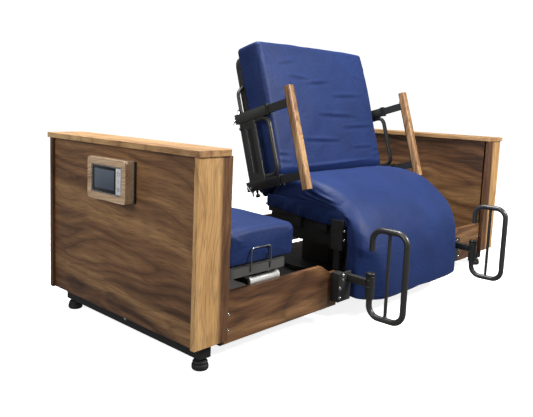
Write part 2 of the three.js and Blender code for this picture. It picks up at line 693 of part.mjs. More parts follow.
function egressHandle(prefix, side) {
  const x = PIVOT.x + side * HANDLE.offset;
  const { y, tube, reach, top, bottom, end, bend } = HANDLE;
  const loop = bar(
    [
      [x, y, SLEEVE.top + 1],
      [x, y, bottom],
      [x, y - reach, bottom],
      [x, y - reach, top],
      [x, y, top],
      [x, y, end],
    ],
    tube,
    bend,
    52,
  );
  const brace = new THREE.CylinderGeometry(7, 7, top - bottom, 10).rotateX(Math.PI / 2);
  brace.translate(x, y - reach / 2, (top + bottom) / 2);
  add(`${prefix}_handle_loop`, join(loop, brace), CHARCOAL);
  const capBottom = SLEEVE.top + 1 + GAP;
  const capProfile = [
    [0, capBottom],
    [SLEEVE.outer + 0.5, capBottom],
    [SLEEVE.outer + 0.5, capBottom + 9],
    [SLEEVE.outer - 2, capBottom + 13],
    [0, capBottom + 13],
  ];
  add(`${prefix}_handle_cap`, turned(capProfile, x, y, 20), RUBBER);
  const sleeveProfile = [
    [tube + 1, SLEEVE.bottom],
    [SLEEVE.outer, SLEEVE.bottom],
    [SLEEVE.outer, SLEEVE.top],
    [tube + 1, SLEEVE.top],
    [tube + 1, SLEEVE.bottom],
  ];
  const arm = box(x - 12.5, x + 12.5, y + SLEEVE.outer - 3, -7, 188, 220);
  const railEnd = side < 0 ? [OPENING.start - 44, OPENING.start - 1] : [OPENING.end + 1, OPENING.end + 44];
  const across = side < 0 ? [railEnd[0], x + 15] : [x - 15, railEnd[1]];
  const clamp = box(...across, -20, -7, 108, 232);
  const jaw = box(...railEnd, -12, RAIL.near - GAP, 108, 232);
  add(`${prefix}_handle_bracket`, join(turned(sleeveProfile, x, y, 20), arm, clamp, jaw), CHARCOAL);
}

egressHandle("left", -1);
egressHandle("right", 1);

// ---- Centred over the middle of the whole -------------------------------------------------------

assembly.updateMatrixWorld(true);
const middle = new THREE.Box3().setFromObject(assembly, true).getCenter(new THREE.Vector3());
assembly.position.set(-middle.x, -middle.y, 0);

const bed = new THREE.Group();
bed.add(assembly);
export default bed;
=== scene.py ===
# %% [markdown]
# # A sit-to-stand bed
# Two walnut end boards carry a low steel carriage. A turntable on the carriage carries a lifting chair: a
# reclining back, a seat, a hanging leg rest and two sliding arm rests. A grab handle swings on each side.
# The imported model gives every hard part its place. This script gives these their materials, replaces the
# plain cushions with sewn ones, and puts smooth tubes in the place of faceted ones.

# %%
import json
import math

import bmesh
import bpy
import numpy as np
from mathutils import Matrix, Vector, noise

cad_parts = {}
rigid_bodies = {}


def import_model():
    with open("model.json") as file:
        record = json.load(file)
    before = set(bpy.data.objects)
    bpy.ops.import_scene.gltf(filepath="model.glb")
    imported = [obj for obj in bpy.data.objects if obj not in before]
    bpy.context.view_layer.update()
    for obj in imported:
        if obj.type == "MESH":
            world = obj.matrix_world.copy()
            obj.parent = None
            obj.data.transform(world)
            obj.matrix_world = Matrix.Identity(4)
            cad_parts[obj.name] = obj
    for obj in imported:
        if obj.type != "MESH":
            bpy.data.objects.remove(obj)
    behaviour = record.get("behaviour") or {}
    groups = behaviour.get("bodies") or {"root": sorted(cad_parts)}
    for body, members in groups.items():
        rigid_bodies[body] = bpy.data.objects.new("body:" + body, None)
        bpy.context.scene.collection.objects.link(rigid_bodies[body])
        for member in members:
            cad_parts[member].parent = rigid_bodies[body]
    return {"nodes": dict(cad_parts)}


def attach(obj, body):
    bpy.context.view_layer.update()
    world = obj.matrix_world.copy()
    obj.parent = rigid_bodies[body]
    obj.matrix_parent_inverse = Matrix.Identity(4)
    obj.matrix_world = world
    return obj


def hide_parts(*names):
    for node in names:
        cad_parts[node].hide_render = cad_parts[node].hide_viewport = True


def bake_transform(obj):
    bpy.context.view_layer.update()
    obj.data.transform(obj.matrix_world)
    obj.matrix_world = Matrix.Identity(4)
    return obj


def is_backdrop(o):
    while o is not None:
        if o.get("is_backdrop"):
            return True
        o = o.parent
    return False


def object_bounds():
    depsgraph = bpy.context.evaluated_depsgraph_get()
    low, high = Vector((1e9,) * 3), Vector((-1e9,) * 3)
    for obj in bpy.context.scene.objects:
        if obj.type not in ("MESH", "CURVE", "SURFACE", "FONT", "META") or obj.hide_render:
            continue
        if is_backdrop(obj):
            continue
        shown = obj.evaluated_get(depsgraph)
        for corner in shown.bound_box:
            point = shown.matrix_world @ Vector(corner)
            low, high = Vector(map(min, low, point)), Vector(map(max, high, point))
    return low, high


for leftover in list(bpy.data.objects):
    bpy.data.objects.remove(leftover)
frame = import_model()
low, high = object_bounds()
cad_box = [list(low), list(high)]
NODES = frame["nodes"]

# %% [markdown]
# ## Where things are
# Points are counted in metres from the outer face of the foot board (x), its near edge (y) and the floor (z).
# `at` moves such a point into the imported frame, whose origin is under the middle of the whole.

# %%
ORIGIN = Vector((1.18025, 0.33125, 0.0))
CHAIR_X = 1.338
HINGE_Z = 0.435
BACK_HINGE_Y = 0.541
BACK_ANGLE = math.radians(73.3)
HALF_WIDTH = 0.445


def at(x, y, z):
    """A point counted from the foot board's near corner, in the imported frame."""
    return Vector((x, y, z)) - ORIGIN


BACK_FRAME = Matrix.Translation(at(CHAIR_X, BACK_HINGE_Y, HINGE_Z)) @ Matrix.Rotation(BACK_ANGLE, 4, "X")


def shade(colour, factor):
    return tuple(min(1, c * factor) for c in colour)


def smooth(t):
    """An even step from 0 to 1 for t from 0 to 1."""
    return t * t * (3 - 2 * t)


def clamp(t):
    return min(1, max(0, t))

# %% [markdown]
# ## Camera and light

# %%
scene = bpy.context.scene
scene.render.engine = "CYCLES"
scene.render.resolution_x = 1024
scene.render.resolution_y = 801
scene.cycles.samples = 96
scene.view_settings.view_transform = "Standard"
scene.view_settings.look = "None"


def make_camera():
    """A camera at head height of someone kneeling, off the foot board's near corner."""
    yaw, pitch, roll = (math.radians(a) for a in (43.68, 7.168, 2.167))
    ahead = Vector((math.cos(pitch) * math.cos(yaw), math.cos(pitch) * math.sin(yaw), -math.sin(pitch)))
    right = ahead.cross(Vector((0, 0, 1))).normalized()
    up = right.cross(ahead)
    tilted_right = math.cos(roll) * right + math.sin(roll) * up
    tilted_up = math.cos(roll) * up - math.sin(roll) * right
    data = bpy.data.cameras.new("camera")
    data.lens = 41.55
    data.sensor_width = 36
    data.shift_x = 0.0325
    data.shift_y = -0.0591
    camera = bpy.data.objects.new("camera", data)
    turn = Matrix((tilted_right, tilted_up, -ahead)).transposed()
    camera.matrix_world = Matrix.Translation((-2.47404, -1.78959, 0.93777)) @ turn.to_4x4()
    scene.collection.objects.link(camera)
    scene.camera = camera


make_camera()


def area_light(name, place, target, size, power, colour=(1, 1, 1)):
    data = bpy.data.lights.new(name, "AREA")
    data.shape = "DISK"
    data.size = size
    data.energy = power
    data.color = colour
    light = bpy.data.objects.new(name, data)
    light.location = place
    light.rotation_mode = "QUATERNION"
    light.rotation_quaternion = (Vector(target) - Vector(place)).to_track_quat("-Z", "Y")
    scene.collection.objects.link(light)


area_light("key", (0.9, -3.2, 2.9), (0.1, 0, 0.5), 1.0, 185, (1.0, 0.97, 0.93))
area_light("top", (-0.3, 0.3, 3.6), (0.0, 0.1, 0.4), 1.5, 150)
area_light("fill", (-4.0, -0.2, 1.9), (0, 0, 0.4), 2.0, 48, (0.97, 0.98, 1.0))


def make_world():
    world = bpy.data.worlds.new("studio")
    world.use_nodes = True
    background = world.node_tree.nodes["Background"]
    background.inputs[0].default_value = (1, 1, 1, 1)
    background.inputs[1].default_value = 0.20
    scene.world = world


make_world()

# %% [markdown]
# ## Materials
# A small wrapper round the node tree keeps each material to a few lines. Colours are linear.
# All patterns run on object coordinates, which for every piece here are the model's own metres.


# %%
class Graph:
    """Builds the nodes of one material."""

    def __init__(self, name):
        self.material = bpy.data.materials.new(name)
        self.material.use_nodes = True
        self.tree = self.material.node_tree
        self.surface = self.tree.nodes["Principled BSDF"]
        self.coordinates = self.new("ShaderNodeTexCoord", {}).outputs["Object"]

    def new(self, kind, inputs, **settings):
        node = self.tree.nodes.new(kind)
        for key, value in settings.items():
            setattr(node, key, value)
        for key, value in inputs.items():
            self.feed(node.inputs[key], value)
        return node

    def feed(self, socket, value):
        if isinstance(value, bpy.types.NodeSocket):
            self.tree.links.new(value, socket)
        elif socket.type == "RGBA" and len(value) == 3:
            socket.default_value = (*value, 1)
        else:
            socket.default_value = value

    def stretched(self, scale, offset=(0, 0, 0), source=None):
        inputs = {"Vector": source or self.coordinates, "Scale": scale, "Location": offset}
        return self.new("ShaderNodeMapping", inputs).outputs["Vector"]

    def noise(self, vector, scale, detail=4.0, rough=0.5, twist=0.0):
        inputs = {"Vector": vector, "Scale": scale, "Detail": detail, "Roughness": rough, "Distortion": twist}
        return self.new("ShaderNodeTexNoise", inputs).outputs["Fac"]

    def ramp(self, value, stops):
        node = self.new("ShaderNodeValToRGB", {"Fac": value})
        elements = node.color_ramp.elements
        while len(elements) < len(stops):
            elements.new(0.5)
        for element, (place, colour) in zip(elements, stops):
            element.position = place
            element.color = (*colour, 1)
        return node.outputs["Color"]

    def math(self, operation, a, b=0.0):
        return self.new("ShaderNodeMath", {0: a, 1: b}, operation=operation).outputs[0]

    def spread(self, value, from_low, from_high, to_low=0.0, to_high=1.0):
        inputs = {"Value": value, "From Min": from_low, "From Max": from_high}
        inputs |= {"To Min": to_low, "To Max": to_high}
        return self.new("ShaderNodeMapRange", inputs, interpolation_type="SMOOTHSTEP").outputs["Result"]

    def vary(self, value, low=0.0, high=1.0):
        """Spreads a noise, which mostly lies between 0.3 and 0.7, over a range."""
        return self.spread(value, 0.3, 0.7, low, high)

    def mix(self, share, a, b):
        return self.new("ShaderNodeMix", {0: share, 6: a, 7: b}, data_type="RGBA").outputs[2]

    def axis(self, name):
        return self.new("ShaderNodeSeparateXYZ", {0: self.coordinates}).outputs[name]

    def bump(self, height, distance, strength, onto=None):
        inputs = {"Height": height, "Distance": distance, "Strength": strength}
        if onto:
            inputs["Normal"] = onto
        return self.new("ShaderNodeBump", inputs).outputs["Normal"]

    def finish(self, colour, rough, metal=0.0, normal=None, **extra):
        inputs = {"Base Color": colour, "Roughness": rough, "Metallic": metal}
        if normal:
            inputs["Normal"] = normal
        inputs |= {key.replace("_", " "): value for key, value in extra.items()}
        for key, value in inputs.items():
            self.feed(self.surface.inputs[key], value)
        return self.material


# %% [markdown]
# ### Floor


# %%
def make_floor():
    """A white floor that runs up into a far white wall, so that no horizon shows."""
    mesh = bpy.data.meshes.new("floor")
    reach, height = 14, 12
    ground = [(-reach, -reach, 0), (reach, -reach, 0), (reach, reach, 0), (-reach, reach, 0)]
    above = [(x, y, height) for x, y, _ in ground]
    walls = [(k, (k + 1) % 4, 4 + (k + 1) % 4, 4 + k) for k in range(4)]
    mesh.from_pydata(ground + above, [], [(0, 1, 2, 3), *walls])
    floor = bpy.data.objects.new("floor", mesh)
    floor.location.z = -0.001
    floor.visible_diffuse = False
    floor.visible_glossy = False
    scene.collection.objects.link(floor)
    glow = {"Emission_Color": (1, 1, 1), "Emission_Strength": 0.85}
    mesh.materials.append(Graph("floor_white").finish((0.93, 0.93, 0.93), 0.9, **glow))
    floor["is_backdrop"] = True


make_floor()

# %% [markdown]
# ### Wood
# Walnut veneer: broad heart and sapwood bands, growth lines warped along the grain, and short dark pores.
# `grain` is the axis the fibres follow. `pale` lifts the whole board towards sapwood; on the caps this lift
# is partly painted light, the brightness of their lit tops. A streak is a sapwood stripe: its height, half
# its width and its strength. `drift` slopes the streaks. `bands` gives the edge between a light and a dark
# part of one board, the edge's width, and whether the light part comes first. On the near side boards the
# light part is painted light, standing for the key light on those faces.

# %%
WALNUT = ((0.045, 0.019, 0.008), (0.135, 0.060, 0.026), (0.245, 0.120, 0.050), (0.480, 0.270, 0.112))
# Golden walnut for the caps and the arm grips. On the caps it is partly painted light, the brightness of
# their lit tops.
GOLDEN_WALNUT_AND_PAINTED_LIGHT = ((0.115, 0.052, 0.022), (0.30, 0.150, 0.062), (0.52, 0.30, 0.130), (0.74, 0.48, 0.235))
ASH = ((0.36, 0.215, 0.12), (0.55, 0.36, 0.215), (0.70, 0.50, 0.32), (0.78, 0.60, 0.42))
# Colours of a board's light part. The near side boards use them, and there they are painted key light.
PAINTED_SIDE_LIGHT = ((0.30, (0.44, 0.235, 0.085)), (0.5, (0.66, 0.38, 0.150)), (0.7, (0.80, 0.50, 0.225)))


def wood(name, grain, pale=0.0, seed=0.0, streaks=(), drift=0.0, bands=None, palette=WALNUT, fine=1.0):
    dark, heart, tan, sap = palette
    g = Graph(name)
    across = 17 * fine

    def along(run, cross):
        return tuple(run if axis == grain else cross for axis in "XYZ")

    fast = along(1, across)
    slow = tuple(0.2 * f if f > 1 else 0.55 for f in fast)
    warp_place = g.stretched((0.5, 0.5, 0.5), (seed * 1.3, seed, seed * 2.2))
    warp = g.new("ShaderNodeTexNoise", {"Vector": warp_place, "Detail": 1}).outputs["Color"]
    bending = {0: warp, 1: (0.12, 0.12, 0.12), 2: g.coordinates}
    bent = g.new("ShaderNodeVectorMath", bending, operation="MULTIPLY_ADD").outputs[0]
    broad = g.noise(g.stretched(slow, (seed * 2.1, seed, seed * 3.3), bent), 1.3, 1, 0.35, 0.0)
    lines = g.noise(g.stretched(fast, (seed, seed * 1.7, seed * 0.6), bent), 2.3, 9, 0.66, 0.35)
    rings = g.math("PINGPONG", g.math("MULTIPLY", broad, 15.0), 0.5)
    figure = g.math("ADD", g.math("MULTIPLY", broad, 0.50), g.math("MULTIPLY", lines, 0.42))
    figure = g.math("ADD", figure, g.math("MULTIPLY", rings, 0.16))
    # Moves the ramp towards its light colours. On the caps this is partly painted light on their lit tops.
    shift = 0.17 * pale
    places = (0.37 - shift, 0.47 - shift, 0.57 - shift, 0.72 - shift * 0.6)
    colour = g.ramp(figure, list(zip(places, palette)))
    wander = g.noise(g.stretched(slow, (seed, 5.0, 2.0)), 1.6, 4, 0.5, 0.5)
    for place, half, share in streaks:
        middle = g.math("ADD", g.math("MULTIPLY", g.axis(grain), drift), place)
        away = g.math("ABSOLUTE", g.math("SUBTRACT", g.axis("Z"), middle))
        away = g.math("ADD", away, g.math("MULTIPLY", g.math("SUBTRACT", wander, 0.5), 0.16))
        mask = g.spread(away, half * 0.35, half * 1.3, share, 0.0)
        colour = g.mix(mask, colour, g.ramp(lines, [(0.35, tan), (0.65, sap)]))
    if bands is not None:
        edge, width, light_first = bands
        place = g.math("ADD", g.axis("X"), g.math("MULTIPLY", g.math("SUBTRACT", wander, 0.5), 0.045))
        mask = g.spread(place, edge - width, edge + width, float(not light_first), float(light_first))
        dark_part = g.ramp(lines, [(0.35, dark), (0.5, heart), (0.65, tan)])
        # The light part's colours are painted key light on the near side boards.
        colour = g.mix(mask, g.ramp(lines, PAINTED_SIDE_LIGHT), dark_part)
    ring_line = g.spread(rings, 0.0, 0.12, 0.26, 0.0)
    colour = g.mix(ring_line, colour, shade(dark, 0.7))
    pores = g.noise(g.stretched(along(12, 380)), 1.0, 2, 0.5)
    pore_mask = g.spread(pores, 0.52, 0.68, 0.0, 0.5)
    colour = g.mix(pore_mask, colour, shade(dark, 1.2))
    normal = g.bump(pores, 0.00016, 0.35, g.bump(lines, 0.0005, 0.15))
    return g.finish(colour, g.vary(lines, 0.50, 0.36), 0.0, normal, Coat_Weight=0.10, Coat_Roughness=0.3)


FOOT_EDGE_X, HEAD_EDGE_X = 0.103 - ORIGIN.x, 2.2925 - ORIGIN.x
FOOT_STREAKS = [(0.455, 0.035, 0.75), (0.175, 0.04, 0.8)]
WOODS = {
    "footboard_outer_panel": wood("walnut_foot_panel", "Y", 0.0, 3.1, FOOT_STREAKS, 0.10),
    "footboard_inner_panel": wood("walnut_foot_inner", "Y", 0.1, 7.7),
    # Near side board: its light part is painted key light.
    "footboard_near_side": wood("walnut_foot_side", "Z", 0.5, 1.3, bands=(FOOT_EDGE_X, 0.012, True)),
    "footboard_far_side": wood("walnut_foot_far_side", "Z", 0.3, 4.3),
    # Cap: the golden palette and pale setting are partly lighter wood and partly painted light on the lit
    # top.
    "footboard_cap": wood("walnut_foot_cap", "Y", 0.5, 2.2, palette=GOLDEN_WALNUT_AND_PAINTED_LIGHT),
    "headboard_outer_panel": wood("walnut_head_panel", "Y", 0.0, 9.4, [(0.4, 0.05, 0.6)]),
    "headboard_inner_panel": wood("walnut_head_inner", "Y", 0.25, 5.2, [(0.42, 0.05, 0.5)]),
    # Near side board: its light part is painted key light.
    "headboard_near_side": wood("walnut_head_side", "Z", 0.5, 6.1, bands=(HEAD_EDGE_X, 0.015, False)),
    "headboard_far_side": wood("walnut_head_far_side", "Z", 0.3, 8.3),
    # Cap: the golden palette and pale setting are partly lighter wood and partly painted light on the lit
    # top.
    "headboard_cap": wood("walnut_head_cap", "Y", 0.5, 4.9, palette=GOLDEN_WALNUT_AND_PAINTED_LIGHT),
    "near_rail_foot": wood("walnut_rail_foot", "X", 0.1, 2.9, [(0.12, 0.03, 0.45)]),
    "near_rail_head": wood("walnut_rail_head", "X", 0.1, 6.6, [(0.2, 0.03, 0.4)]),
    "far_rail": wood("walnut_rail_far", "X", 0.2, 1.1),
    "screen_housing": wood("ash_screen_frame", "Y", 0.2, 5.5, palette=ASH, fine=3.0),
    "left_arm_grip": wood("walnut_grip_left", "Z", 0.25, 3.6, palette=GOLDEN_WALNUT_AND_PAINTED_LIGHT, fine=2.4),
    "right_arm_grip": wood("walnut_grip_right", "Z", 0.10, 8.8, palette=GOLDEN_WALNUT_AND_PAINTED_LIGHT, fine=2.4),
}


# %% [markdown]
# ### Powder coat, steel, rubber and plastic


# %%
SPARKLE = 0.25


def powder_coat(name, colour, metal, rough):
    g = Graph(name)
    fine = g.noise(g.coordinates, 900, 2, 0.6)
    cloudy = g.noise(g.coordinates, 6, 3, 0.5)
    share = g.math("ADD", g.math("MULTIPLY", fine, SPARKLE), g.math("MULTIPLY", cloudy, 0.25))
    tint = g.mix(share, shade(colour, 0.7), shade(colour, 1.5))
    return g.finish(tint, g.vary(cloudy, rough - 0.06, rough + 0.06), metal, g.bump(fine, 0.0002, 0.35))


CHARCOAL = powder_coat("charcoal_coat", (0.060, 0.060, 0.056), 0.5, 0.40)
TUBE_GREY = powder_coat("handle_coat", (0.10, 0.10, 0.098), 0.7, 0.34)
BLACK_STEEL = powder_coat("black_coat", (0.018, 0.018, 0.019), 0.2, 0.5)
DECK_GREY = powder_coat("deck_coat", (0.16, 0.16, 0.155), 0.5, 0.45)


def bright_steel(name, colour=(0.62, 0.63, 0.65), rough=0.24):
    g = Graph(name)
    brushed = g.noise(g.stretched((30, 30, 600)), 1.0, 3, 0.6)
    tint = g.mix(brushed, shade(colour, 0.82), shade(colour, 1.15))
    return g.finish(tint, g.vary(brushed, rough - 0.06, rough + 0.1), 1.0, g.bump(brushed, 0.00005, 0.2))


ZINC = bright_steel("zinc_plate")
WIRE = bright_steel("dull_wire", (0.30, 0.31, 0.32), 0.28)
CHROME = bright_steel("chrome_bolts", (0.75, 0.76, 0.78), 0.16)


def moulded(name, colour, rough, grain_size=700, coat=0.0):
    g = Graph(name)
    grain = g.noise(g.coordinates, grain_size, 2, 0.5)
    dirt = g.noise(g.coordinates, 25, 4, 0.6)
    tint = g.mix(dirt, shade(colour, 0.85), shade(colour, 1.1))
    rough = g.vary(dirt, rough - 0.05, rough + 0.07)
    return g.finish(tint, rough, 0.0, g.bump(grain, 0.0002, 0.3), Coat_Weight=coat)


RUBBER = moulded("black_rubber", (0.014, 0.014, 0.014), 0.62)
WHITE = moulded("white_pipe", (0.80, 0.80, 0.79), 0.33, 200, 0.2)
BLACK_PLASTIC = moulded("black_collar_plastic", (0.016, 0.016, 0.017), 0.4)

# %% [markdown]
# ### Stretch cover
# A fine knit with a soft sheen. The nap makes grazing surfaces paler, and faint rumples break up the light.


# %%
def stretch_cover(name, colour):
    g = Graph(name)
    tone = g.noise(g.coordinates, 5, 4, 0.55)
    body = g.mix(g.vary(tone), shade(colour, 0.86), shade(colour, 1.16))
    weave_inputs = {"Vector": g.coordinates, "Scale": 420}
    weave = g.new("ShaderNodeTexWave", weave_inputs, wave_type="BANDS", bands_direction="DIAGONAL")
    knit = g.noise(g.coordinates, 1500, 2, 0.5)
    thread = g.math("ADD", g.math("MULTIPLY", weave.outputs["Fac"], 0.5), g.math("MULTIPLY", knit, 0.5))
    body = g.mix(g.spread(thread, 0.3, 0.8, 0.0, 0.22), body, shade(colour, 1.7))
    rumple = g.noise(g.stretched((1, 1.4, 1.2)), 11, 3, 0.45, 1.2)
    crease = g.math("ABSOLUTE", g.math("SUBTRACT", g.noise(g.stretched((5, 9, 7)), 1.1, 3, 0.5, 1.6), 0.5))
    crease = g.spread(crease, 0.0, 0.035, 0.0, 1.0)
    wrinkled = g.bump(crease, 0.0012, 0.30, g.bump(rumple, 0.006, 0.42))
    normal = g.bump(thread, 0.00012, 0.3, wrinkled)
    sheen = {"Sheen_Weight": 0.07, "Sheen_Roughness": 0.45, "Sheen_Tint": (0.40, 0.50, 0.95, 1)}
    return g.finish(body, 0.55, 0.0, normal, Specular_IOR_Level=0.28, **sheen)


COVER = stretch_cover("navy_stretch_cover", (0.0078, 0.0235, 0.104))

# %% [markdown]
# ## The model's own nodes
# Box-shaped nodes stay as they are. Each is welded and gets even normals and its material; most also get a
# small bevel.

# %%
WELD_DISTANCE = 1e-5
BEVEL_ANGLE = math.radians(50)


def dress(name, material, bevel):
    node = NODES[name]
    node.data.materials.clear()
    node.data.materials.append(material)
    if "custom_normal" in node.data.attributes:
        node.data.attributes.remove(node.data.attributes["custom_normal"])
    node.data.polygons.foreach_set("use_smooth", [True] * len(node.data.polygons))
    weld = node.modifiers.new("weld", "WELD")
    weld.merge_threshold = WELD_DISTANCE
    if bevel:
        rounding = node.modifiers.new("bevel", "BEVEL")
        rounding.width = bevel
        rounding.segments = 2
        rounding.limit_method = "ANGLE"
        rounding.angle_limit = BEVEL_ANGLE
        rounding.use_clamp_overlap = True
    even = node.modifiers.new("normals", "WEIGHTED_NORMAL")
    even.keep_sharp = True


for node_name, material in WOODS.items():
    dress(node_name, material, 0.0016)
DRESSED = (  # material, bevel, nodes
    (CHARCOAL, 0.0012, "floor_pan lift_column_outer seat_frame back_frame leg_frame"),
    (DECK_GREY, 0.002, "foot_deck_frame"),
    (BLACK_STEEL, 0.002, "foot_base_beam head_base_beam base_spine carriage_frame lift_column_inner"),
    (BLACK_STEEL, 0.0, "roller_bracket turntable_plate"),
    (ZINC, 0.0, "foot_lift_unit head_lift_unit turntable_base back_hinge_pin knee_hinge_pin"),
    (CHARCOAL, 0.0, "left_arm_bracket right_arm_bracket"),
    (CHARCOAL, 0.001, "left_arm_fork right_arm_fork"),
    (BLACK_PLASTIC, 0.0015, "left_arm_collar_lower left_arm_collar_upper"),
    (BLACK_PLASTIC, 0.0015, "right_arm_collar_lower right_arm_collar_upper"),
)
for material, bevel, names in DRESSED:
    for node_name in names.split():
        dress(node_name, material, bevel)

# %% [markdown]
# ## Helpers for new pieces


# %%
def piece(name, mesh, material, body, slot, *stands_for):
    """Links a finished mesh at the origin and ties it to its body and the nodes it stands for. `slot` is not
    used.
    """
    mesh.materials.clear()
    mesh.materials.append(material)
    mesh.polygons.foreach_set("use_smooth", [True] * len(mesh.polygons))
    thing = bpy.data.objects.new(name, mesh)
    scene.collection.objects.link(thing)
    if body:
        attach(thing, body)
    if stands_for:
        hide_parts(*stands_for)
    return thing


def mesh_from(bm, name, sharp=38):
    """Edges over `sharp` degrees are marked as hard, so that flat ends stay crisp under smooth shading."""
    bmesh.ops.recalc_face_normals(bm, faces=bm.faces)
    mesh = bpy.data.meshes.new(name)
    bm.to_mesh(mesh)
    bm.free()
    mesh.set_sharp_from_angle(angle=math.radians(sharp))
    return mesh


def rounded_box(bm, lowest, highest, radius, segments=3, matrix=None):
    size = Vector(highest) - Vector(lowest)
    middle = (Vector(highest) + Vector(lowest)) / 2
    to_size = Matrix.Translation(middle) @ Matrix.Diagonal((*size, 1))
    made = bmesh.ops.create_cube(bm, size=1.0, matrix=to_size)
    edges = list({e for v in made["verts"] for e in v.link_edges})
    faces_before = set(bm.faces) - {f for v in made["verts"] for f in v.link_faces}
    bmesh.ops.bevel(bm, geom=edges, offset=radius, segments=segments, profile=0.5, affect="EDGES")
    if matrix is not None:
        new_verts = {v for f in set(bm.faces) - faces_before for v in f.verts}
        bmesh.ops.transform(bm, matrix=matrix, verts=list(new_verts))


def skin(bm, rings, segments):
    """Joins each ring of vertices to the next. A ring may be a single vertex."""
    for a, b in zip(rings, rings[1:]):
        for i in range(segments):
            j = (i + 1) % segments
            corners = list(dict.fromkeys([a[i % len(a)], a[j % len(a)], b[j % len(b)], b[i % len(b)]]))
            if len(corners) > 2:
                bm.faces.new(corners)


def lathe(bm, profile, place, direction=(0, 0, 1), segments=40):
    """Turns [radius, height] points about an axis through place. Points on the axis close the ends."""
    turn = Vector(direction).to_track_quat("Z", "Y").to_matrix().to_4x4()
    to_place = Matrix.Translation(place) @ turn
    rings = []
    for radius, height in profile:
        if radius < 1e-6:
            rings.append([bm.verts.new(to_place @ Vector((0, 0, height)))])
            continue
        ring = []
        for i in range(segments):
            angle = 2 * math.pi * i / segments
            spot = Vector((radius * math.cos(angle), radius * math.sin(angle), height))
            ring.append(bm.verts.new(to_place @ spot))
        rings.append(ring)
    skin(bm, rings, segments)


def bent_path(corners, bend, steps=8):
    """Points along a line whose inner corners are rounded, for a bent tube."""
    corners = [Vector(c) for c in corners]
    points = [corners[0]]
    for before, corner, after in zip(corners, corners[1:], corners[2:]):
        a = corner + (before - corner).normalized() * bend
        b = corner + (after - corner).normalized() * bend
        across = (a - corner).angle(b - corner)
        radius = bend * math.tan(across / 2)
        centre = corner + ((a + b) / 2 - corner).normalized() * (radius / math.sin(across / 2))
        start, stop = a - centre, b - centre
        sweep = start.angle(stop)
        axis = start.cross(stop).normalized()
        for k in range(steps + 1):
            points.append(centre + Matrix.Rotation(sweep * k / steps, 3, axis) @ start)
    points.append(corners[-1])
    return points


def tube(bm, points, radius, sides=20):
    """A round tube along points, with flat ends."""
    count = len(points)
    directions = [(points[min(i + 1, count - 1)] - points[max(i - 1, 0)]).normalized() for i in range(count)]
    side = directions[0].orthogonal().normalized()
    rings = []
    for point, direction in zip(points, directions):
        side = (side - direction * side.dot(direction)).normalized()
        up = direction.cross(side)
        ring = []
        for k in range(sides):
            angle = 2 * math.pi * k / sides
            ring.append(bm.verts.new(point + radius * (math.cos(angle) * side + math.sin(angle) * up)))
        rings.append(ring)
    skin(bm, rings, sides)
    bm.faces.new(rings[0])
    bm.faces.new(rings[-1])


# %% [markdown]
# ## Grab handles
# A bent tube with a thin centre bar. Its lower end turns in a sleeve that a square arm holds off the rail.

# %%
HANDLE = {"offset": 0.488, "y": -0.125, "tube": 0.0125, "reach": 0.158, "bend": 0.048}
HANDLE |= {"top": 0.433, "bottom": 0.066, "end": 0.34, "bar": 0.007}
SLEEVE = {"outer": 0.019, "bottom": 0.137, "top": 0.235}
SIDES = (("left", -1), ("right", 1))
RAIL_ENDS = {"left": (0.776, 0.819), "right": (1.857, 1.9)}


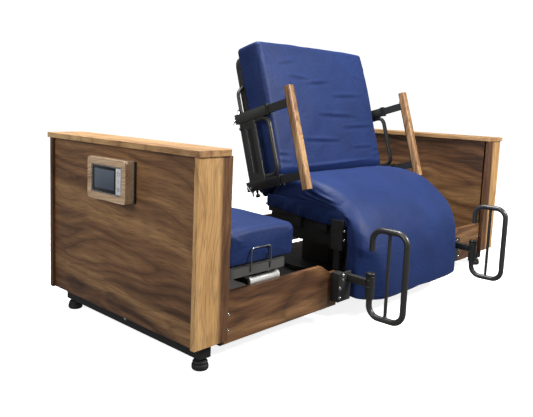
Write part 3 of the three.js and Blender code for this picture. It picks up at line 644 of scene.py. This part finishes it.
def grab_handle(side, sign):
    x = CHAIR_X + sign * HANDLE["offset"]
    y, reach, top, bottom = HANDLE["y"], HANDLE["reach"], HANDLE["top"], HANDLE["bottom"]
    corners = [
        at(x, y, SLEEVE["top"] + 0.001),
        at(x, y, bottom),
        at(x, y - reach, bottom),
        at(x, y - reach, top),
        at(x, y, top),
        at(x, y, HANDLE["end"]),
    ]
    bm = bmesh.new()
    tube(bm, bent_path(corners, HANDLE["bend"], 12), HANDLE["tube"], 28)
    middle = y - reach / 2
    tube(bm, [at(x, middle, bottom + 0.002), at(x, middle, top - 0.002)], HANDLE["bar"])
    for height, lift in ((bottom + 0.0125, 1), (top - 0.0125, -1)):
        bead = [(0, 0), (0.0095, 0.0), (0.0086, 0.0025), (0.0071, 0.004), (0.0, 0.0045)]
        lathe(bm, bead, at(x, middle, height - 0.0008 * lift), (0, 0, lift), 20)
    loop = mesh_from(bm, "handle")
    piece(f"{side}_handle_tube", loop, TUBE_GREY, f"{side}_handle", "charcoal", f"{side}_handle_loop")

    bm = bmesh.new()
    base = SLEEVE["top"] + 0.0015
    cap = [(0, 0), (0.0188, 0), (0.0195, 0.001), (0.0195, 0.0085)]
    cap += [(0.0185, 0.0105), (0.016, 0.0125), (0, 0.0128)]
    lathe(bm, cap, at(x, y, base))
    cap_mesh = mesh_from(bm, "handle_cap", 60)
    piece(f"{side}_handle_collar", cap_mesh, BLACK_PLASTIC, f"{side}_handle", "rubber", f"{side}_handle_cap")

    bm = bmesh.new()
    outer = SLEEVE["outer"]
    inner = HANDLE["tube"] + 0.001
    tall = SLEEVE["top"] - SLEEVE["bottom"]
    wall = [(inner, 0), (outer - 0.001, 0), (outer, 0.001), (outer, tall - 0.001)]
    wall += [(outer - 0.001, tall), (inner, tall), (inner, 0)]
    lathe(bm, wall, at(x, y, SLEEVE["bottom"]), segments=48)
    for height in (0.190, 0.2185):
        ring = [(outer, -0.0012), (outer + 0.0014, -0.0004), (outer + 0.0014, 0.0004), (outer, 0.0012)]
        lathe(bm, ring, at(x, y, height), segments=48)
    rounded_box(bm, at(x - 0.0125, y + outer - 0.003, 0.188), at(x + 0.0125, -0.018, 0.220), 0.002)
    rail_from, rail_to = RAIL_ENDS[side]
    clamp_from, clamp_to = (rail_from, x + 0.015) if sign < 0 else (x - 0.015, rail_to)
    rounded_box(bm, at(clamp_from, -0.020, 0.108), at(clamp_to, -0.0115, 0.232), 0.0015)
    rounded_box(bm, at(rail_from, -0.0115, 0.108), at(rail_to, 0.0195, 0.232), 0.0015)
    bracket = mesh_from(bm, "handle_bracket")
    piece(f"{side}_handle_clamp", bracket, CHARCOAL, "carriage", "charcoal", f"{side}_handle_bracket")


for side, sign in SIDES:
    grab_handle(side, sign)

# %% [markdown]
# ## Guide roller, retainer and feet

# %%
FOOT_RIBS = 24


def guide_roller():
    start, end, y, z = 0.308, 0.473, 0.062, 0.272
    r, hole = 0.017, 0.0065
    length = end - start
    profile = [
        (hole, 0.002), (r - 0.006, 0.002), (r - 0.005, 0.0), (r + 0.001, 0.0), (r + 0.0015, 0.001),
        (r + 0.0015, 0.012), (r + 0.0005, 0.014), (r - 0.0015, 0.0155), (r - 0.0015, length - 0.009),
        (r, length - 0.0075), (r, length - 0.001), (r - 0.001, length), (hole, length), (hole, 0.002),
    ]
    bm = bmesh.new()
    lathe(bm, profile, at(start, y, z), (1, 0, 0), 48)
    roller = mesh_from(bm, "roller", 45)
    piece("white_guide_roller", roller, WHITE, "roller", "white_plastic", "guide_roller")


def mattress_retainer():
    y, foot, head = 0.022 - 0.0033, 0.323, 0.408
    corners = [at(0.281, y, foot), at(0.281, y, head), at(0.386, y, head), at(0.386, y, foot)]
    bm = bmesh.new()
    tube(bm, bent_path(corners, 0.014, 8), 0.003, 16)
    piece("wire_retainer", mesh_from(bm, "retainer"), WIRE, "carriage", "zinc", "mattress_retainer")


def levelling_foot(number, x, y):
    profile = [
        (0, 0), (0.024, 0), (0.028, 0.002), (0.030, 0.006), (0.030, 0.018), (0.028, 0.0215), (0.0245, 0.0225),
        (0.0245, 0.0245), (0.027, 0.026), (0.027, 0.030), (0.0245, 0.033), (0.0125, 0.034), (0.0125, 0.0435),
        (0, 0.0435),
    ]
    bm = bmesh.new()
    lathe(bm, profile, at(x, y, 0.0), segments=40)
    for k in range(FOOT_RIBS):
        angle = 2 * math.pi * k / FOOT_RIBS
        rib = at(x + 0.0300 * math.cos(angle), y + 0.0300 * math.sin(angle), 0.012)
        turn = Matrix.Translation(rib) @ Matrix.Rotation(angle, 4, "Z")
        rounded_box(bm, (-0.0012, -0.0012, -0.006), (0.0002, 0.0012, 0.006), 0.0003, 1, turn)
    foot = mesh_from(bm, "foot", 50)
    piece(f"rubber_foot_{number}", foot, RUBBER, "base", "rubber", f"levelling_foot_{number}")


guide_roller()
mattress_retainer()
for number, (x, y) in enumerate(((0.086, 0.062), (0.086, 0.888), (2.3005, 0.062), (2.3005, 0.888)), 1):
    levelling_foot(number, x, y)

# %% [markdown]
# ## Touch screen
# A silver bezel round a dark display, with a white key strip at its near edge. The symbols are plain shapes.

# %%
SCREEN_X = -0.034


def display_material():
    """A dim page: a blue-grey field with a few soft dots."""
    g = Graph("screen_display")
    dot_inputs = {"Vector": g.stretched((0.0, 85, 85)), "Randomness": 0.75}
    dots = g.new("ShaderNodeTexVoronoi", dot_inputs, feature="F1")
    spot = g.spread(dots.outputs["Distance"], 0.10, 0.24, 1.0, 0.0)
    picked = g.math("GREATER_THAN", g.noise(g.stretched((0, 60, 60)), 1.0, 1, 0.5), 0.54)
    field = g.mix(g.spread(g.axis("Z"), 0.58, 0.67), (0.030, 0.042, 0.060), (0.060, 0.075, 0.095))
    picture = g.mix(g.math("MULTIPLY", spot, picked), field, (0.10, 0.18, 0.42))
    g.feed(g.surface.inputs["Emission Color"], picture)
    return g.finish(picture, 0.12, 0.0, None, Emission_Strength=0.55, Coat_Weight=0.6, Coat_Roughness=0.04)


def screen_plate(name, sides, depth, material, slot, *stands_for):
    y0, y1, z0, z1 = sides
    bm = bmesh.new()
    rounded_box(bm, at(SCREEN_X + depth[0], y0, z0), at(SCREEN_X + depth[1], y1, z1), 0.0008, 2)
    piece(name, mesh_from(bm, name), material, "base", slot, *stands_for)


def touch_screen():
    near, far, bottom, top = 0.3785, 0.5735, 0.5725, 0.6775
    rim = 0.0045
    strip = near + rim + 0.034
    bezel = bmesh.new()
    for y0, y1, z0, z1 in (
        (near, far, bottom, bottom + rim),
        (near, far, top - rim, top),
        (near, near + rim, bottom + rim, top - rim),
        (far - rim, far, bottom + rim, top - rim),
    ):
        rounded_box(bezel, at(SCREEN_X + 0.0015, y0, z0), at(SCREEN_X + 0.009, y1, z1), 0.0009, 2)
    piece("screen_bezel", mesh_from(bezel, "bezel"), ZINC, "base", "zinc")
    glass = moulded("screen_black", (0.006, 0.006, 0.008), 0.10, 50, 0.5)
    surround = (strip, far - rim, bottom + rim, top - rim)
    screen_plate("screen_surround", surround, (0.0045, 0.009), glass, "glass", "screen_glass")
    picture = (strip + 0.011, far - rim - 0.012, bottom + rim + 0.012, top - rim - 0.011)
    screen_plate("screen_display", picture, (0.004, 0.006), display_material(), "glass")
    keys = (near + rim, strip, bottom + rim, top - rim)
    screen_plate("screen_key_strip", keys, (0.0038, 0.009), WHITE, "white_plastic")
    mark = moulded("key_symbol_grey", (0.22, 0.23, 0.25), 0.5)
    middle = (near + rim + strip) / 2
    symbols = bmesh.new()
    face, raised = SCREEN_X + 0.0039, 0.0007
    for height in (0.653, 0.597):
        ring = [(0.0062, 0), (0.0078, 0), (0.0078, raised), (0.0062, raised), (0.0062, 0)]
        lathe(symbols, ring, at(face, middle, height), (-1, 0, 0), 28)
    dot = [(0, 0), (0.0022, 0), (0.0022, raised), (0, raised)]
    lathe(symbols, dot, at(face, middle, 0.597), (-1, 0, 0), 20)
    dash = at(SCREEN_X + 0.0031, middle - 0.0006, 0.618), at(face, middle + 0.0006, 0.632)
    rounded_box(symbols, *dash, 0.0002, 1)
    piece("screen_symbols", mesh_from(symbols, "symbols"), mark, "base", "glass")
    # A black plate larger than the screen, set on the board behind it: painted shadow of the screen.
    shadow = bmesh.new()
    rounded_box(shadow, at(0.0035, 0.347, 0.549), at(0.0115, 0.603, 0.701), 0.002, 2)
    piece("screen_back_plate", mesh_from(shadow, "painted_shadow_plate"), BLACK_PLASTIC, "base", "black_steel")


touch_screen()

# %% [markdown]
# ## Cushions
# Each cushion is a loft: a closed ring is carried along its length. A ring reaches from the deck side
# (`under`) to the sitter's side (`over`). It has a small radius at the deck, a larger one above, and a crown.
# Each end is rounded and closed with shrinking rings. Folds and puckers are then pressed into the surface
# along short lines.

# %%
RING = 260
FOLD_DEPTH = 2.0


def ring_outline(half, thick, top_radius, low_radius, drop, bulge):
    """[across, up] points of one ring, evenly spaced, from the middle of the deck side."""
    corners = [
        (half - low_radius, low_radius, low_radius, -90),
        (half - top_radius, thick - top_radius, top_radius, 0),
        (-half + top_radius, thick - top_radius, top_radius, 90),
        (-half + low_radius, low_radius, low_radius, 180),
    ]
    dense = [(0.0, 0.0)]
    for x, y, radius, start in corners:
        for k in range(17):
            angle = math.radians(start + 90 * k / 16)
            dense.append((x + radius * math.cos(angle), y + radius * math.sin(angle)))
    dense.append((0.0, 0.0))
    dense = np.array(dense)
    run = np.concatenate([[0], np.cumsum(np.linalg.norm(np.diff(dense, axis=0), axis=1))])
    spots = np.linspace(0, run[-1], RING, endpoint=False)
    across, up = np.interp(spots, run, dense[:, 0]), np.interp(spots, run, dense[:, 1])
    share = np.abs(across) / half
    lifted = up - drop * (up / thick) * share**2.6
    pushed = across + bulge * np.sin(np.pi * np.clip(up / thick, 0, 1)) * np.sign(across) * share**6
    return np.stack([pushed, lifted], axis=1)


def catmull(controls, count):
    """count rows evenly spaced in parameter on a smooth curve through the control rows."""
    controls = np.array(controls, float)
    padded = np.vstack([2 * controls[0] - controls[1], controls, 2 * controls[-1] - controls[-2]])
    rows = []
    for s in np.linspace(0, len(controls) - 1, count):
        i = min(int(s), len(controls) - 2)
        t = s - i
        a, b, c, d = padded[i : i + 4]
        curved = (2 * a - 5 * b + 4 * c - d) * t**2 + (3 * b - a - 3 * c + d) * t**3
        rows.append(0.5 * (2 * b + (c - a) * t + curved))
    return np.array(rows)


def mesh_of(name, points, faces):
    """A mesh from points and faces, with all faces turned outward."""
    mesh = bpy.data.meshes.new(name)
    mesh.from_pydata(points, [], faces)
    bm = bmesh.new()
    bm.from_mesh(mesh)
    bmesh.ops.recalc_face_normals(bm, faces=bm.faces)
    bm.to_mesh(mesh)
    bm.free()
    return mesh


def loft(stations, end_radius, end_bulge):
    """A closed mesh through stations of (under, over, half, top_radius, low_radius, drop, bulge)."""
    across = np.array((1.0, 0.0, 0.0))
    rings = []

    def ring_at(station, inset, shift):
        under, over, half, top_radius, low_radius, drop, bulge = station
        up = over - under
        thick = np.linalg.norm(up)
        up = up / thick
        kept = max(0.3, 1 - inset / top_radius)
        radii = max(top_radius * kept, 0.004), max(low_radius * kept, 0.003)
        flat = ring_outline(half - inset, thick - 2 * inset, *radii, drop, bulge)
        start = under + up * inset + shift
        return start + flat[:, :1] * across + flat[:, 1:] * up

    def middle_line(station):
        return (station[0] + station[1]) / 2

    def ahead(first, second):
        step = middle_line(second) - middle_line(first)
        return step / np.linalg.norm(step)

    def end_rings(station, outward):
        made = []
        for angle in np.radians((0, 18, 36, 54, 72, 90)):
            inset = end_radius * (1 - math.cos(angle))
            made.append(ring_at(station, inset, outward * end_radius * (math.sin(angle) - 1)))
        flat = made[-1]
        centre = flat.mean(axis=0)
        for share in (0.94, 0.84, 0.7, 0.52, 0.32, 0.12):
            made.append(centre + (flat - centre) * share + outward * end_bulge * (1 - share**2))
        return made

    rings.extend(reversed(end_rings(stations[0], -ahead(*stations[:2]))))
    ends = [middle_line(stations[i]) for i in (0, -1)]
    for station in stations[1:-1]:
        if min(np.linalg.norm(middle_line(station) - end) for end in ends) > end_radius * 1.05:
            rings.append(ring_at(station, 0.0, 0.0))
    rings.extend(end_rings(stations[-1], ahead(*stations[-2:])))
    points = np.vstack(rings)
    faces = []
    for r in range(len(rings) - 1):
        for k in range(RING):
            j = (k + 1) % RING
            faces.append((r * RING + k, r * RING + j, (r + 1) * RING + j, (r + 1) * RING + k))
    last = (len(rings) - 1) * RING
    faces.append(tuple(range(RING)))
    faces.append(tuple(last + k for k in range(RING)))
    return mesh_of("loft", points.tolist(), faces)


def points_and_normals(mesh):
    count = len(mesh.vertices)
    points = np.zeros(count * 3)
    mesh.vertices.foreach_get("co", points)
    normals = np.zeros(count * 3)
    mesh.vertex_normals.foreach_get("vector", normals)
    return points.reshape(-1, 3), normals.reshape(-1, 3)


def press(mesh, folds, ripple, ripple_size, seed):
    """Moves the surface along its normals. A fold is (from, to, width, height), a valley if height < 0."""
    points, normals = points_and_normals(mesh)
    move = np.zeros(len(points))
    for a, b, width, height in folds:
        a, b = np.array(a, float), np.array(b, float)
        run = b - a
        along = np.clip((points - a) @ run / (run @ run), 0, 1)
        away = np.linalg.norm(points - a - along[:, None] * run, axis=1)
        taper = np.sin(np.pi * np.clip(along * 0.92 + 0.04, 0, 1)) ** 0.6
        move += FOLD_DEPTH * height * np.exp(-((away / width) ** 2)) * taper
    drift = Vector((seed, seed * 0.7, seed * 1.9))
    rough = [noise.noise(Vector(p) * ripple_size + drift) for p in points]
    finer = [noise.noise(Vector(p) * ripple_size * 2.7 + drift) for p in points]
    move += ripple * (np.array(rough) + 0.4 * np.array(finer))
    points += normals * move[:, None]
    mesh.vertices.foreach_set("co", points.ravel())
    mesh.update()


# %% [markdown]
# ### Seat and leg rest, one cover
# The seat runs over the knee and down the leg in one curve.
# Below the top of the near rail its corners stay inside the circle that passes the rail's end in a turn.

# %%
SEAT_LEG_CURVE = [  # under y, under z, over y, over z
    (0.506, 0.4505, 0.407, 0.598),
    (0.440, 0.4505, 0.345, 0.604),
    (0.360, 0.4505, 0.275, 0.602),
    (0.285, 0.4505, 0.205, 0.592),
    (0.215, 0.4505, 0.140, 0.574),
    (0.155, 0.4505, 0.083, 0.548),
    (0.110, 0.4500, 0.035, 0.515),
    (0.078, 0.4480, -0.006, 0.474),
    (0.056, 0.4420, -0.040, 0.426),
    (0.043, 0.4240, -0.068, 0.371),
    (0.036, 0.3880, -0.088, 0.312),
    (0.031, 0.3380, -0.102, 0.252),
    (0.029, 0.2780, -0.111, 0.195),
    (0.028, 0.2150, -0.117, 0.148),
    (0.028, 0.1500, -0.119, 0.116),
    (0.028, 0.1040, -0.117, 0.098),
]
SWIVEL = at(CHAIR_X, 0.475, 0)
TURNING_RADIUS = 0.670
TURNING_TOP = (0.275, 0.335)


def keep_inside_turn(mesh):
    """Draws the low corners in towards the swivel axis, softly, so that the turning chair clears the rail."""
    points, _ = points_and_normals(mesh)
    arm = points[:, :2] - np.array(SWIVEL[:2])
    reach = np.linalg.norm(arm, axis=1)
    soft = 0.004
    excess = soft * np.logaddexp(0, (reach - TURNING_RADIUS) / soft)
    low, high = TURNING_TOP
    weight = smooth(np.clip((high - points[:, 2]) / (high - low), 0, 1))
    points[:, :2] -= arm / reach[:, None] * (excess * weight)[:, None]
    mesh.vertices.foreach_set("co", points.ravel())
    mesh.update()


def seat_and_leg():
    rows = catmull(SEAT_LEG_CURVE, 132)
    stations = []
    for i, (under_y, under_z, over_y, over_z) in enumerate(rows):
        share = i / (len(rows) - 1)
        knee = math.exp(-(((share - 0.5) / 0.2) ** 2))
        top_radius = 0.040 + 0.040 * knee + 0.040 * clamp((share - 0.45) / 0.2)
        drop = 0.016 + 0.010 * knee
        under = np.array(at(CHAIR_X, under_y, under_z))
        over = np.array(at(CHAIR_X, over_y, over_z))
        top_radius = min(top_radius, 0.62 * float(np.linalg.norm(over - under)))
        half = HALF_WIDTH - 0.002 - 0.004 * knee
        stations.append((under, over, half, top_radius, 0.012, drop, 0.005))
    mesh = loft(stations, 0.014, 0.004)
    folds = []
    for sign in (-1, 1):
        edge = CHAIR_X + sign * 0.447
        inner = CHAIR_X + sign * 0.405
        fan = ((0.300, 0.463), (0.315, 0.482), (0.300, 0.503), (0.275, 0.522), (0.235, 0.540), (0.185, 0.548))
        for k, (y, z) in enumerate(fan):
            ridge = at(edge, 0.035 - 0.012 * k, 0.446 + 0.006 * k)
            valley = at(edge, 0.04 - 0.012 * k, 0.452 + 0.006 * k)
            folds.append((ridge, at(edge, y, z), 0.0065, 0.0050))
            folds.append((valley, at(edge, y - 0.02, z + 0.009), 0.006, -0.0040))
        for k in range(5):
            x = CHAIR_X + sign * (0.43 - 0.025 * k)
            folds.append((at(x, 0.405, 0.590), at(x - sign * 0.045, 0.335, 0.602), 0.007, 0.0022))
            start = at(x - sign * 0.012, 0.405, 0.592)
            folds.append((start, at(x - sign * 0.06, 0.33, 0.603), 0.006, -0.0022))
        for k in range(4):
            start = at(edge, -0.02 - 0.012 * k, 0.40 - 0.07 * k)
            folds.append((start, at(inner, -0.075 - 0.01 * k, 0.36 - 0.07 * k), 0.009, 0.0016))
        folds.append((at(edge, 0.02, 0.41), at(edge, 0.01, 0.12), 0.012, 0.0035))
        folds.append((at(edge, -0.03, 0.38), at(edge, -0.045, 0.11), 0.011, -0.0030))
    press(mesh, folds, 0.0045, 4.2, 3.0)
    keep_inside_turn(mesh)
    cover = piece("seat_and_leg_cover", mesh, COVER, None, "blue_fabric", "seat_mattress", "leg_mattress")
    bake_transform(cover)


def side_skirt(side, sign):
    """The cover's free edge beside the seat. It hangs past the deck and tucks in at the knee."""
    columns, rows = 70, 16
    outer, inner = [], []
    for i in range(columns):
        share = i / (columns - 1)
        y = 0.500 - 0.470 * share
        tuck = 0.012 * smooth(clamp((0.066 - y) / 0.034))
        top = 0.492 - 0.048 * clamp((share - 0.70) / 0.28) ** 1.5
        hem = 0.436 - 0.034 * math.sin(math.pi * min(1, share * 0.62)) ** 1.5
        for k in range(rows):
            fall = k / (rows - 1)
            z = top - (top - hem) * fall - 0.06 * max(0, 0.06 - share) * fall
            wave = fall * (0.0016 * math.sin(38 * share + 5 * fall) + 0.0012 * math.sin(71 * share + 2.0))
            x = CHAIR_X + sign * (0.4468 + 0.0025 * math.sin(math.pi * fall) + wave - tuck)
            outer.append(at(x, y, z))
            inner.append(at(x - sign * 0.0022, y, z + 0.0006 * (1 - 2 * fall)))
    count = columns * rows
    faces = []
    for i in range(columns - 1):
        for k in range(rows - 1):
            a, b, c, d = i * rows + k, (i + 1) * rows + k, (i + 1) * rows + k + 1, i * rows + k + 1
            faces.append((a, b, c, d))
            faces.append((count + d, count + c, count + b, count + a))
    rim = [i * rows for i in range(columns)] + [(columns - 1) * rows + k for k in range(1, rows)]
    rim += [i * rows + rows - 1 for i in range(columns - 2, -1, -1)] + list(range(rows - 2, 0, -1))
    for a, b in zip(rim, rim[1:] + rim[:1]):
        faces.append((b, a, count + a, count + b))
    mesh = mesh_of("skirt", [tuple(p) for p in outer + inner], faces)
    piece(f"{side}_cover_skirt", mesh, COVER, "seat", "blue_fabric")


seat_and_leg()
for side, sign in SIDES:
    side_skirt(side, sign)

# %% [markdown]
# ### Back cushion
# A boxy cushion with crisp edges. Its foot is cut on the slope where it meets the seat.


# %%
def on_back(x, y, z):
    """A point of the back's own frame (across, up the back, out of its deck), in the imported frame."""
    return BACK_FRAME @ Vector((x, y, z))


BACK_CURVE = [  # up the back, on the deck side and on the sitter's side
    (0.027, 0.134), (0.085, 0.180), (0.160, 0.232), (0.245, 0.295), (0.35, 0.375),
    (0.46, 0.47), (0.57, 0.575), (0.68, 0.681), (0.776, 0.776),
]
BACK_CREASES = [  # start across, start up the back, length, rise
    (-0.36, 0.655, 0.16, 0.02), (-0.30, 0.60, 0.20, -0.02), (-0.18, 0.56, 0.22, 0.015),
    (0.05, 0.50, 0.3, 0.01), (-0.1, 0.40, 0.34, -0.01), (0.1, 0.33, 0.4, 0.012),
    (-0.25, 0.27, 0.3, -0.012), (0.15, 0.22, 0.36, 0.0), (0.3, 0.62, 0.16, -0.03),
]


def back_cushion():
    stations = []
    for under_y, over_y in catmull(BACK_CURVE, 112):
        lift = math.sin(math.pi * clamp((over_y - 0.13) / 0.65))
        under = np.array(on_back(0, under_y, 0.0145))
        over = np.array(on_back(0, over_y, 0.166 + 0.010 * lift))
        stations.append((under, over, HALF_WIDTH - 0.003, 0.021, 0.012, 0.008 + 0.006 * lift, 0.005))
    mesh = loft(stations, 0.018, 0.006)
    folds = []
    for sign in (-1, 1):
        edge = sign * 0.44
        top_corner = on_back(edge, 0.772, 0.168)
        for k in range(6):
            inward = on_back(edge - sign * (0.045 + 0.022 * k), 0.657 + 0.014 * k, 0.174)
            folds.append((top_corner, inward, 0.0065, 0.0034 * (-1) ** k))
        for k in range(5):
            start = on_back(edge, 0.765 - 0.004 * k, 0.165)
            folds.append((start, on_back(edge, 0.64 - 0.02 * k, 0.14 - 0.022 * k), 0.007, 0.0026 * (-1) ** k))
            height = 0.155 + 0.018 * k
            inward = on_back(edge - sign * 0.10, height - 0.01, 0.174)
            folds.append((on_back(edge, height, 0.165), inward, 0.006, 0.0020 * (-1) ** k))
    for x, y, length, rise in BACK_CREASES:
        end_x, end_y = x + length, y + rise
        folds.append((on_back(x, y, 0.175), on_back(end_x, end_y, 0.176), 0.0095, -0.0017))
        ridge = on_back(x + 0.02, y + 0.016, 0.175)
        folds.append((ridge, on_back(end_x, end_y + 0.018, 0.176), 0.0095, 0.0016))
    for k in range(3):
        start = on_back(-0.43 + 0.1 * k, 0.142, 0.170)
        folds.append((start, on_back(0.2 + 0.1 * k, 0.150 + 0.006 * k, 0.172), 0.008, 0.0018))
    press(mesh, folds, 0.0042, 4.2, 11.0)
    cushion = piece("back_cushion", mesh, COVER, "back", "blue_fabric", "back_mattress")


back_cushion()

# %% [markdown]
# ### Foot section's mattress


# %%
def foot_cushion():
    x0, x1, y0, y1, z0, z1 = 0.177, 0.534, 0.030, 0.920, 0.3438, 0.478
    middle, half = (x0 + x1) / 2, (x1 - x0) / 2
    stations = []
    for y in np.linspace(y0, y1, 104):
        share = (y - y0) / (y1 - y0)
        crown = 0.014 * math.sin(math.pi * share) ** 0.7
        under = np.array(at(middle, y, z0))
        over = np.array(at(middle, y, z1 + crown))
        stations.append((under, over, half - 0.002, 0.024, 0.012, 0.009, 0.004))
    mesh = loft(stations, 0.022, 0.006)
    folds = []
    for k in range(7):
        start = at(0.19 + 0.004 * k, 0.06 + 0.05 * k, 0.478)
        folds.append((start, at(0.30 + 0.018 * k, 0.075 + 0.062 * k, 0.487), 0.010, 0.0026 * (-1) ** k))
    for k in range(5):
        start = at(0.20 + 0.012 * k, 0.026, 0.462 - 0.01 * k)
        folds.append((start, at(0.275 + 0.03 * k, 0.026, 0.40 - 0.008 * k), 0.008, 0.0024 * (-1) ** k))
    for k in range(3):
        inward = at(0.47 - 0.02 * k, 0.055 + 0.02 * k, 0.484)
        folds.append((at(0.535, 0.035, 0.475), inward, 0.0075, 0.0022 * (-1) ** k))
        folds.append((at(0.535, 0.028, 0.47), at(0.50 - 0.02 * k, 0.026, 0.40), 0.0075, 0.002 * (-1) ** k))
    press(mesh, folds, 0.0040, 6.0, 7.0)
    cushion = piece("foot_cushion", mesh, COVER, "carriage", "blue_fabric", "foot_mattress")


foot_cushion()

# %% [markdown]
# ## Bolts
# One domed bolt head is made once and copied by Geometry Nodes to every place, turned to face outward.
# The copies are made real, and the result rides on the body that the bolts hold.


# %%
def bolt_head(radius, height):
    bm = bmesh.new()
    profile = [  # in shares of the radius and of the height
        (0, 0), (1.25, 0), (1.25, 0.12), (1, 0.16), (1, 0.45),
        (0.85, 0.8), (0.55, 1), (0.42, 1), (0.38, 0.45), (0, 0.45),
    ]
    lathe(bm, [(radius * r, height * h) for r, h in profile], (0, 0, 0), segments=20)
    head = bpy.data.objects.new("bolt_pattern", mesh_from(bm, "bolt"))
    scene.collection.objects.link(head)
    return head


def copies_group(head, material):
    """A node group that puts head on each point, with its Z along the point's own direction."""
    group = bpy.data.node_groups.new("bolt_copies", "GeometryNodeTree")
    for way in ("INPUT", "OUTPUT"):
        group.interface.new_socket("Geometry", in_out=way, socket_type="NodeSocketGeometry")
    make = group.nodes.new
    start, end = make("NodeGroupInput"), make("NodeGroupOutput")
    info = make("GeometryNodeObjectInfo")
    info.inputs["Object"].default_value = head
    facing = make("GeometryNodeInputNamedAttribute")
    facing.data_type = "FLOAT_VECTOR"
    facing.inputs["Name"].default_value = "facing"
    align = make("FunctionNodeAlignRotationToVector")
    align.axis = "Z"
    place = make("GeometryNodeInstanceOnPoints")
    real = make("GeometryNodeRealizeInstances")
    paint = make("GeometryNodeSetMaterial")
    paint.inputs["Material"].default_value = material
    link = group.links.new
    link(start.outputs[0], place.inputs["Points"])
    link(info.outputs["Geometry"], place.inputs["Instance"])
    link(facing.outputs["Attribute"], align.inputs["Vector"])
    link(align.outputs["Rotation"], place.inputs["Rotation"])
    link(place.outputs["Instances"], real.inputs["Geometry"])
    link(real.outputs["Geometry"], paint.inputs["Geometry"])
    link(paint.outputs["Geometry"], end.inputs[0])
    return group


def bolts(name, places, radius, height, material, body, slot):
    """places is a list of (point, direction that the head faces)."""
    head = bolt_head(radius, height)
    mesh = bpy.data.meshes.new(name)
    mesh.from_pydata([tuple(p) for p, _ in places], [], [])
    facing = mesh.attributes.new("facing", "FLOAT_VECTOR", "POINT")
    facing.data.foreach_set("vector", [c for _, d in places for c in d])
    carrier = bpy.data.objects.new(name + "_points", mesh)
    scene.collection.objects.link(carrier)
    modifier = carrier.modifiers.new("copies", "NODES")
    modifier.node_group = copies_group(head, material)
    bpy.context.view_layer.update()
    made = bpy.data.meshes.new_from_object(carrier.evaluated_get(bpy.context.evaluated_depsgraph_get()))
    bpy.data.objects.remove(carrier)
    bpy.data.objects.remove(head)
    piece(name, made, material, body, slot)


FOOTWARD, NEARWARD = (-1, 0, 0), (0, -1, 0)
rail_bolts = [(at(x, 0.0198, z), NEARWARD) for x in (0.172, 2.214) for z in (0.128, 0.187)]
bolts("rail_bolts", rail_bolts, 0.0062, 0.0055, CHROME, "carriage", "zinc")
post_bolts = [(at(x, 0.0478, z), NEARWARD) for x in (0.896, 1.780) for z in (0.345, 0.385)]
bolts("corner_post_bolts", post_bolts, 0.0068, 0.0055, CHROME, "seat", "zinc")
clamp_bolts = []
for inner, outer in ((0.807, 0.788), (1.869, 1.888)):
    for z in (0.221, 0.203, 0.168, 0.128):
        clamp_bolts.append((at(inner if z > 0.17 else outer, -0.0202, z), NEARWARD))
bolts("clamp_bolts", clamp_bolts, 0.0062, 0.006, CHROME, "carriage", "zinc")
bolts("beam_bolts", [(at(0.0598, 0.475, 0.072), FOOTWARD)], 0.006, 0.005, CHROME, "base", "zinc")

# %% [markdown]
# ## Arm rest fittings
# Two hand bolts at the back of each upper sleeve, a sprung plunger with a round black knob under it, one pair
# below the lower sleeve, and the small tube loop behind the cushion's side.


# %%
def hand_bolt(bm, base, direction, length):
    lathe(bm, [(0, 0), (0.0042, 0), (0.0042, length), (0, length)], base, direction, 18)
    nut = [(0, 0), (0.0075, 0), (0.0085, 0.001), (0.0085, 0.005), (0.0075, 0.006), (0, 0.006)]
    lathe(bm, nut, base, direction, 6)
    across = direction.orthogonal().normalized()
    tip = base + direction * length
    tube(bm, [tip - across * 0.016, tip + across * 0.016], 0.0036, 16)


def knob(bm, base, direction):
    profile = [
        (0, 0), (0.0065, 0), (0.0065, 0.010), (0.0045, 0.012), (0.0045, 0.018), (0.009, 0.0195),
        (0.0115, 0.023), (0.012, 0.027), (0.011, 0.031), (0.008, 0.034), (0, 0.035),
    ]
    lathe(bm, profile, base, direction, 28)


def arm_fittings(side, sign):
    x = sign * 0.496
    upper, lower = 0.423, 0.088
    turn = BACK_FRAME.to_3x3()
    outward, rearward, downward = (turn @ Vector(d) for d in ((sign, 0, 0), (0, 0, -1), (0, -1, 0)))
    bright, dark = bmesh.new(), bmesh.new()
    hand_bolt(bright, on_back(x, upper + 0.023, 0.004), -downward, 0.018)
    hand_bolt(bright, on_back(x, upper - 0.006, -0.016), rearward, 0.022)
    hand_bolt(bright, on_back(x + sign * 0.013, lower - 0.008, 0.012), outward, 0.016)
    hand_bolt(bright, on_back(x, lower - 0.023, 0.006), downward, 0.022)
    knob(dark, on_back(x, upper - 0.0225, 0.004), downward)
    knob(dark, on_back(x, lower - 0.0225, 0.036), downward)
    piece(f"{side}_arm_hand_bolts", mesh_from(bright, "hand_bolts"), CHROME, "back", "zinc")
    piece(f"{side}_arm_knobs", mesh_from(dark, "knobs"), BLACK_PLASTIC, "back", "rubber")
    loop = bmesh.new()
    corners = [
        on_back(sign * 0.452, upper - 0.02, 0.000),
        on_back(sign * 0.474, upper + 0.03, 0.000),
        on_back(sign * 0.474, upper + 0.135, 0.000),
        on_back(sign * 0.430, upper + 0.165, 0.000),
    ]
    tube(loop, bent_path(corners, 0.022, 8), 0.009, 20)
    piece(f"{side}_back_loop", mesh_from(loop, "back_loop"), CHARCOAL, "back", "charcoal")


for side, sign in SIDES:
    arm_fittings(side, sign)

# %%
low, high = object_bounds()
sizes = [[round(h - l, 4) for l, h in zip(*box)] for box in (cad_box, (low, high))]
print("size, CAD and visual", *sizes)
